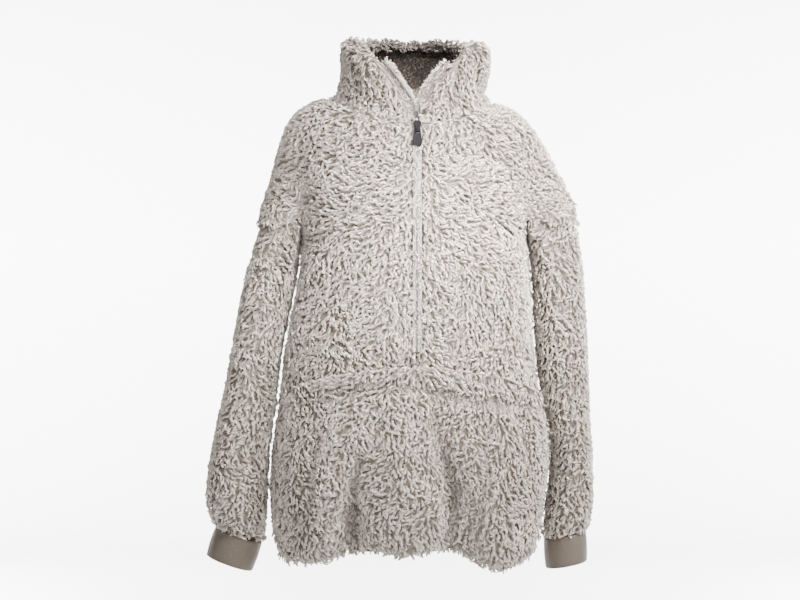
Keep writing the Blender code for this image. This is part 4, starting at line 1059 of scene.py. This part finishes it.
PITCH = 2.4 * MM
TOOTH_LONG, TOOTH_DEEP, TOOTH_HIGH = 2.6 * MM, 2.4 * MM, 1.3 * MM
TOOTH_OUT = 0.4 * MM  # how far a tooth's middle stands past the tape's edge
CHAIN_FORWARD = 1.4 * MM  # how far the closed chain stands in front of the tape
SLIDER_GAP = 1 * MM  # no tooth is nearer to the slider, above or below it
TOOTH_HEAD = 0.5  # how high a tooth is at its head, as a share of its foot
OPEN_TURN = (0.35, -1.0, 0.25)  # which way open teeth point: forwards and a little inwards and up
slider_low, slider_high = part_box("slider")
teeth_pieces = []
for side, sign, shift in (("right", -1, 0.0), ("left", 1, PITCH / 2)):
    line = edge_line(side)
    points, along = along_line(line, PITCH, shift + MM)
    places = []
    for point, up in zip(points, along):
        if slider_low.z - SLIDER_GAP < point[2] < slider_high.z + SLIDER_GAP:
            continue
        closed = point[2] < slider_low.z
        inwards, forwards, upwards = OPEN_TURN
        across = np.array([-sign, 0.0, 0.0] if closed else [-sign * inwards, forwards, upwards])
        across = across - up * (across @ up)
        across /= np.linalg.norm(across)
        deep = np.cross(up, across)
        middle = point + across * TOOTH_OUT + np.array([0, -CHAIN_FORWARD if closed else 0, 0])
        axes = np.array([across * TOOTH_LONG, deep * TOOTH_DEEP, up * TOOTH_HIGH])
        places.append((middle, axes))
    teeth_pieces.append(blocks(f"zip_teeth_{side}", places, bright, TOOTH_HEAD))
    print("teeth on the", side, len(places))

for side in ("left", "right"):
    shell(f"zip_tape_{side}", tape, 0.0, levels=0)

# %% [markdown]
# ## The facing beside the open teeth
#
# Where the zip is open, the fabric's light pile rolls round to the inside of the tape and
# shows as a fuzzy strip between the teeth and the darker lining. Where it is closed, a few
# small tufts hide the tape's outer edge.

# %% The facing beside the open teeth
FACING_SPACING = 1.9 * MM
CLEAR_OF_TEETH = 3.6 * MM
ABOVE_SLIDER, BELOW_SLIDER = 4 * MM, 2 * MM  # where the facing starts and the closed part ends
facing_points, facing_normals = [], []
for side in ("left", "right"):
    mesh = made_shells[f"zip_tape_{side}"][0].data
    line = edge_line(side)
    near_teeth = KDTree(len(line))
    for i, point in enumerate(line):
        near_teeth.insert(point, i)
    near_teeth.balance()
    mesh.calc_loop_triangles()
    corners = np.array([[mesh.vertices[v].co for v in t.vertices] for t in mesh.loop_triangles])
    cross = np.cross(corners[:, 1] - corners[:, 0], corners[:, 2] - corners[:, 0])
    areas = np.linalg.norm(cross, axis=1) / 2
    flat_normals = np.repeat((cross / (2 * areas[:, None]))[:, None], 3, axis=1)
    points, normals, _ = scatter(corners, flat_normals, areas, np.zeros(len(areas)), FACING_SPACING)
    opened = points[:, 2] > slider_high.z + ABOVE_SLIDER
    closed = (normals[:, 1] < -0.5) & (points[:, 2] < slider_low.z - BELOW_SLIDER)
    keep = np.where(opened, normals[:, 1] < 0.2, closed)
    keep &= np.array([near_teeth.find(point)[2] > CLEAR_OF_TEETH for point in points])
    facing_points.append(points[keep])
    facing_normals.append(normals[keep])
facing_points, facing_normals = np.concatenate(facing_points), np.concatenate(facing_normals)
facing = tufts(
    "zip_facing", facing_points, facing_normals,
    length=9 * MM, width=3.8 * MM, height=3.4 * MM, finish=pile,
)
print("facing tufts:", len(facing_points))

# %% [markdown]
# ## The pile rolled over the collar's edge
#
# Behind the open teeth the pile rolls over the collar's edge. Three rows of small tufts
# stand there, and their tips point to the middle. They get longer towards the top, where
# the strip is widest.

# %% The pile rolled over the collar's edge
ROLL_STEP = 1.1 * MM
ROLL_START = 12 * MM  # above the slider
ROLL_BACKS = (2.6, 4.4, 6.2)  # how far back the three rows stand, in millimetres
ROLL_ASIDE = 1.2  # and how far outwards, so that the teeth stay clear
ROLL_LOW, ROLL_SPAN = -20 * MM, 70 * MM  # the tufts grow over this span of height
ROLL_SHORTEST, ROLL_GROWTH = 5.5, 6.5  # millimetres at the bottom, and how much more at the top
roll_points, roll_lengths, roll_towards = [], [], []
for side, sign in (("left", 1), ("right", -1)):
    line = edge_line(side)
    line = line[line[:, 2] > slider_high.z + ROLL_START]
    points, along = along_line(line, ROLL_STEP, 0.0)
    for back in ROLL_BACKS:
        uneven = rng.normal(0, 0.5, points.shape)
        roll_points.append(points + uneven * MM + np.array([sign * ROLL_ASIDE, back, 0.0]) * MM)
        rise = np.clip((points[:, 2] - ROLL_LOW) / ROLL_SPAN, 0, 1)
        roll_lengths.append(ROLL_SHORTEST + ROLL_GROWTH * rise)
        across = np.array([-sign, -0.25, 0.0]) + along * rng.normal(0, 0.55, (len(points), 1))
        roll_towards.append(across / np.linalg.norm(across, axis=1)[:, None])
roll_points, roll_towards = np.concatenate(roll_points), np.concatenate(roll_towards)
roll_lengths = np.concatenate(roll_lengths)[:, None] * MM
roll_out = np.tile([0.0, -1.0, 0.35], (len(roll_points), 1))
roll_normals = np.cross(roll_towards, np.cross(roll_out, roll_towards))
roll_normals /= np.linalg.norm(roll_normals, axis=1)[:, None]
roll = tufts(
    "facing_roll", roll_points, roll_normals,
    length=roll_lengths, width=3.4 * MM, height=2.2 * MM, finish=pile, towards=roll_towards,
)
print("roll tufts:", len(roll_points))

# %% [markdown]
# ## Slider and pull tab
#
# These two are hard parts with their exact form in the CAD, so they stay as they are and only
# get their finish: zinc alloy under dark plating, with edges rounded a little by wear. The
# tab hinges on the slider's crown.

# %% Slider and pull tab
EDGE_WEAR = 0.25 * MM
for name in ("slider", "pull_tab"):
    part = frame["nodes"][name]
    part.data.materials.clear()
    part.data.materials.append(gunmetal)
    edges = part.modifiers.new("worn_edges", "BEVEL")
    edges.width = EDGE_WEAR
    edges.segments = 2
    edges.limit_method = "ANGLE"
print("slider and tab finished in", gunmetal.name)

# %% [markdown]
# ## Stitching
#
# Most seams lie under the pile. Two show: the lockstitch that holds the zip tapes, and the
# one round the top of each cuff. There is a stitch each 3.1 mm, and 2.3 mm of it shows. The
# polyester thread is drawn about 0.5 mm thick, more than the real 0.3 mm, so that it shows.


# %% Stitching
TAPE_PITCH = 3.1 * MM
TAPE_ROW = 5.0 * MM  # how far the tapes' rows are from the zip's middle
CUFF_TURN = 4.0  # degrees from one stitch to the next
CUFF_ROW = 16 * MM  # how far the cuffs' rows are below their top
STITCH = (2.3, 0.49, 0.6)  # length, width and height in millimetres
STITCH_LIFT = 0.15 * MM  # how far a stitch's middle stands off the cloth


def stitches(name, points, outwards, finish):
    """A row of stitches that follows a line of points on the cloth, pitch by pitch."""
    long, wide, high = STITCH
    places = []
    for before, here, after, outward in zip(points, points[1:], points[2:], outwards[1:]):
        run = (after - before) / np.linalg.norm(after - before)
        across = np.cross(run, outward)
        axes = np.array([run * long, across * wide, outward * high]) * MM
        places.append((here + outward * STITCH_LIFT, axes))
    return blocks(name, places, finish)


stitch_rows = {}
for side, sign in (("left", 1), ("right", -1)):
    tree = search_tree(made_shells[f"zip_tape_{side}"][0].data)
    found = []
    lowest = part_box(f"zip_tape_{side}")[0].z + 4 * MM
    for level in np.arange(lowest, slider_low.z - BELOW_SLIDER, TAPE_PITCH):
        hit = tree.ray_cast(Vector((sign * TAPE_ROW, -0.3, level)), Vector((0, 1, 0)))
        if hit[0] is not None:
            found.append(np.array(hit[0]))
    front = [np.array([0.0, -1.0, 0.0])] * len(found)
    stitch_rows[f"zip_tape_{side}"] = stitches(f"tape_stitches_{side}", found, front, thread)
    print("tape stitches", side, len(found))

    tree = search_tree(made_shells[f"cuff_{side}"][0].data)
    low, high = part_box(f"cuff_{side}")
    middle = (low + high) / 2
    found, outwards = [], []
    for turn in np.radians(np.arange(0, 366, CUFF_TURN)):
        outward = Vector((np.cos(turn), np.sin(turn), 0))
        start = Vector((middle.x, middle.y, high.z - CUFF_ROW)) + outward * 0.1
        hit = tree.ray_cast(start, -outward)
        if hit[0] is not None:
            found.append(np.array(hit[0]))
            outwards.append(np.array(hit[1]))
    stitch_rows[f"cuff_{side}"] = stitches(f"cuff_stitches_{side}", found, outwards, cuff_thread)
    print("cuff stitches", side, len(found))

# %% [markdown]
# ## What is cloth, and how it was cut
#
# Each soft piece is listed with the size of its pattern piece before sewing: its widest
# and longest, and its area where it isn't a rectangle. Panels are curved at the neck and the
# armhole, and a sleeve tapers. The numbers were measured over the worn form, all round for
# the sleeves and the cuffs. Pile, teeth and stitches are listed with the cloth that carries them.

# %% What is cloth, and how it was cut
Cut = namedtuple("Cut", "width length area held rests_on")
CUTS = {
    "front": Cut(0.62, 0.78, 0.370, "draped", ()),
    "back": Cut(0.62, 0.80, 0.380, "draped", ()),
    "pocket": Cut(0.52, 0.31, 0.146, "draped", ("front",)),
    "sleeve_left": Cut(0.37, 0.49, 0.141, "hung", ("front", "back")),
    "sleeve_right": Cut(0.37, 0.49, 0.145, "hung", ("front", "back")),
    "hood_left": Cut(0.30, 0.26, 0.062, "folded", ("back",)),
    "hood_right": Cut(0.30, 0.26, 0.062, "folded", ("back",)),
    "hood_lining": Cut(0.58, 0.26, 0.115, "folded", ("hood_left", "hood_right")),
    "cuff_left": Cut(0.28, 0.05, 0.012, "stretched", ("sleeve_left",)),
    "cuff_right": Cut(0.28, 0.05, 0.012, "stretched", ("sleeve_right",)),
    "zip_tape_left": Cut(0.0105, 0.44, 0.0043, "draped", ("front", "hood_left")),
    "zip_tape_right": Cut(0.0105, 0.44, 0.0043, "draped", ("front", "hood_right")),
}
going = {name: list(pieces) for name, pieces in pile_pieces.items()}
going["front"].append(seam)
going["hood_lining"] = [lining_tufts, crest_tufts]
going["zip_tape_left"] = [teeth_pieces[1], facing, roll]
going["zip_tape_right"] = [teeth_pieces[0]]
for name, row in stitch_rows.items():
    going.setdefault(name, []).append(row)
for name, cut in CUTS.items():
    made = made_shells[name][0]
    half = sum(p.area for p in made.data.polygons) / 2
    held_by = [made_shells[other][0] for other in cut.rests_on]
    carried = going.get(name, ())
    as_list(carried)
    print(name, "half of its surface", round(half, 4), "cut", cut.width, "by", cut.length, "m")

# %% [markdown]
# ## Floor, light and camera
#
# A plain pale floor, as far below as when the garment is worn, curves up behind it. The
# light is soft and comes mostly from the upper right, as in the picture, with a pale surround
# that fills the shadows. The backdrop has its own lights, turned away from the garment. The
# camera stands 3.2 m away at mid height and looks straight at the garment.


# %% Floor, light and camera
FLOOR = -1.25  # below the origin, which is at the neck
CURVE_START, CURVE_RADIUS = 4.6, 1.2
HALF_WIDTH, WALL_TOP = 6.0, 7.0


def backdrop():
    """A floor that curves up into a wall."""
    profile = [(-HALF_WIDTH, 0.0), (CURVE_START, 0.0)]
    for turn in np.linspace(0, np.pi / 2, 12)[1:]:
        rise = CURVE_RADIUS - CURVE_RADIUS * np.cos(turn)
        profile.append((CURVE_START + CURVE_RADIUS * np.sin(turn), rise))
    profile.append((CURVE_START + CURVE_RADIUS, WALL_TOP))
    vertices = [(x, y, z + FLOOR) for x in (-HALF_WIDTH, HALF_WIDTH) for y, z in profile]
    count = len(profile)
    faces = [(i, i + 1, count + i + 1, count + i) for i in range(count - 1)]
    mesh = bpy.data.meshes.new("backdrop")
    mesh.from_pydata(vertices, [], faces)
    for polygon in mesh.polygons:
        polygon.use_smooth = True
    made = bpy.data.objects.new("backdrop", mesh)
    bpy.context.scene.collection.objects.link(made)
    mesh.materials.append(
        new_material("backdrop_paper", Roughness=0.9, Base_Color=linear("#f7f6f5"))[0]
    )


Light = namedtuple("Light", "name place aim width watts colour spread")
LIGHTS = (
    Light("key", (1.15, -1.15, 1.0), (0.05, 0.0, -0.1), 0.55, 104, "#fff9f3", 180),
    Light("chest", (0.5, -1.5, 0.65), (0.04, -0.12, -0.19), 0.3, 3.3, "#fff9f3", 20),
    Light("front", (0.35, -3.1, 0.45), (0.0, 0.0, -0.05), 0.6, 30, "#fffdfa", 180),
    Light("backdrop_left", (-2.8, 2.4, -0.1), (-1.0, 5.8, 0.0), 1.2, 1000, "#ffffff", 180),
    Light("backdrop_right", (2.8, 2.4, -0.1), (1.0, 5.8, 0.0), 1.2, 1000, "#ffffff", 180),
)


def area_light(name, place, aim, width, watts, code, spread):
    data = bpy.data.lights.new(name, "AREA")
    data.spread = np.radians(spread)
    data.size = width
    data.energy = watts
    data.color = linear(code)[:3]
    made = bpy.data.objects.new(name, data)
    made.location = place
    made.rotation_euler = (Vector(aim) - Vector(place)).to_track_quat("-Z", "Y").to_euler()
    bpy.context.scene.collection.objects.link(made)


backdrop()
for light in LIGHTS:
    area_light(*light)
world = bpy.data.worlds.new("studio")
bpy.context.scene.world = world
world.use_nodes = True
world.node_tree.nodes["Background"].inputs["Color"].default_value = linear("#ffffff")
world.node_tree.nodes["Background"].inputs["Strength"].default_value = 0.3

eye = bpy.data.cameras.new("camera")
eye.sensor_width = 36.0
eye.lens = 92.9
camera = bpy.data.objects.new("camera", eye)
camera.location = (-0.0257, -3.2, -0.302)
camera.rotation_euler = (np.pi / 2, 0.0, 0.0)
bpy.context.scene.collection.objects.link(camera)
bpy.context.scene.camera = camera
print("camera lens", eye.lens, "mm")

# %% Finishing
triangles = {}
for made in bpy.context.scene.objects:
    if made.type == "MESH" and "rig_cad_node" not in made and made.name != "backdrop":
        triangles[made.name] = sum(len(p.vertices) - 2 for p in made.data.polygons)
most = max(triangles.values())
print("triangles added:", sum(triangles.values()), "most in one piece:", most)
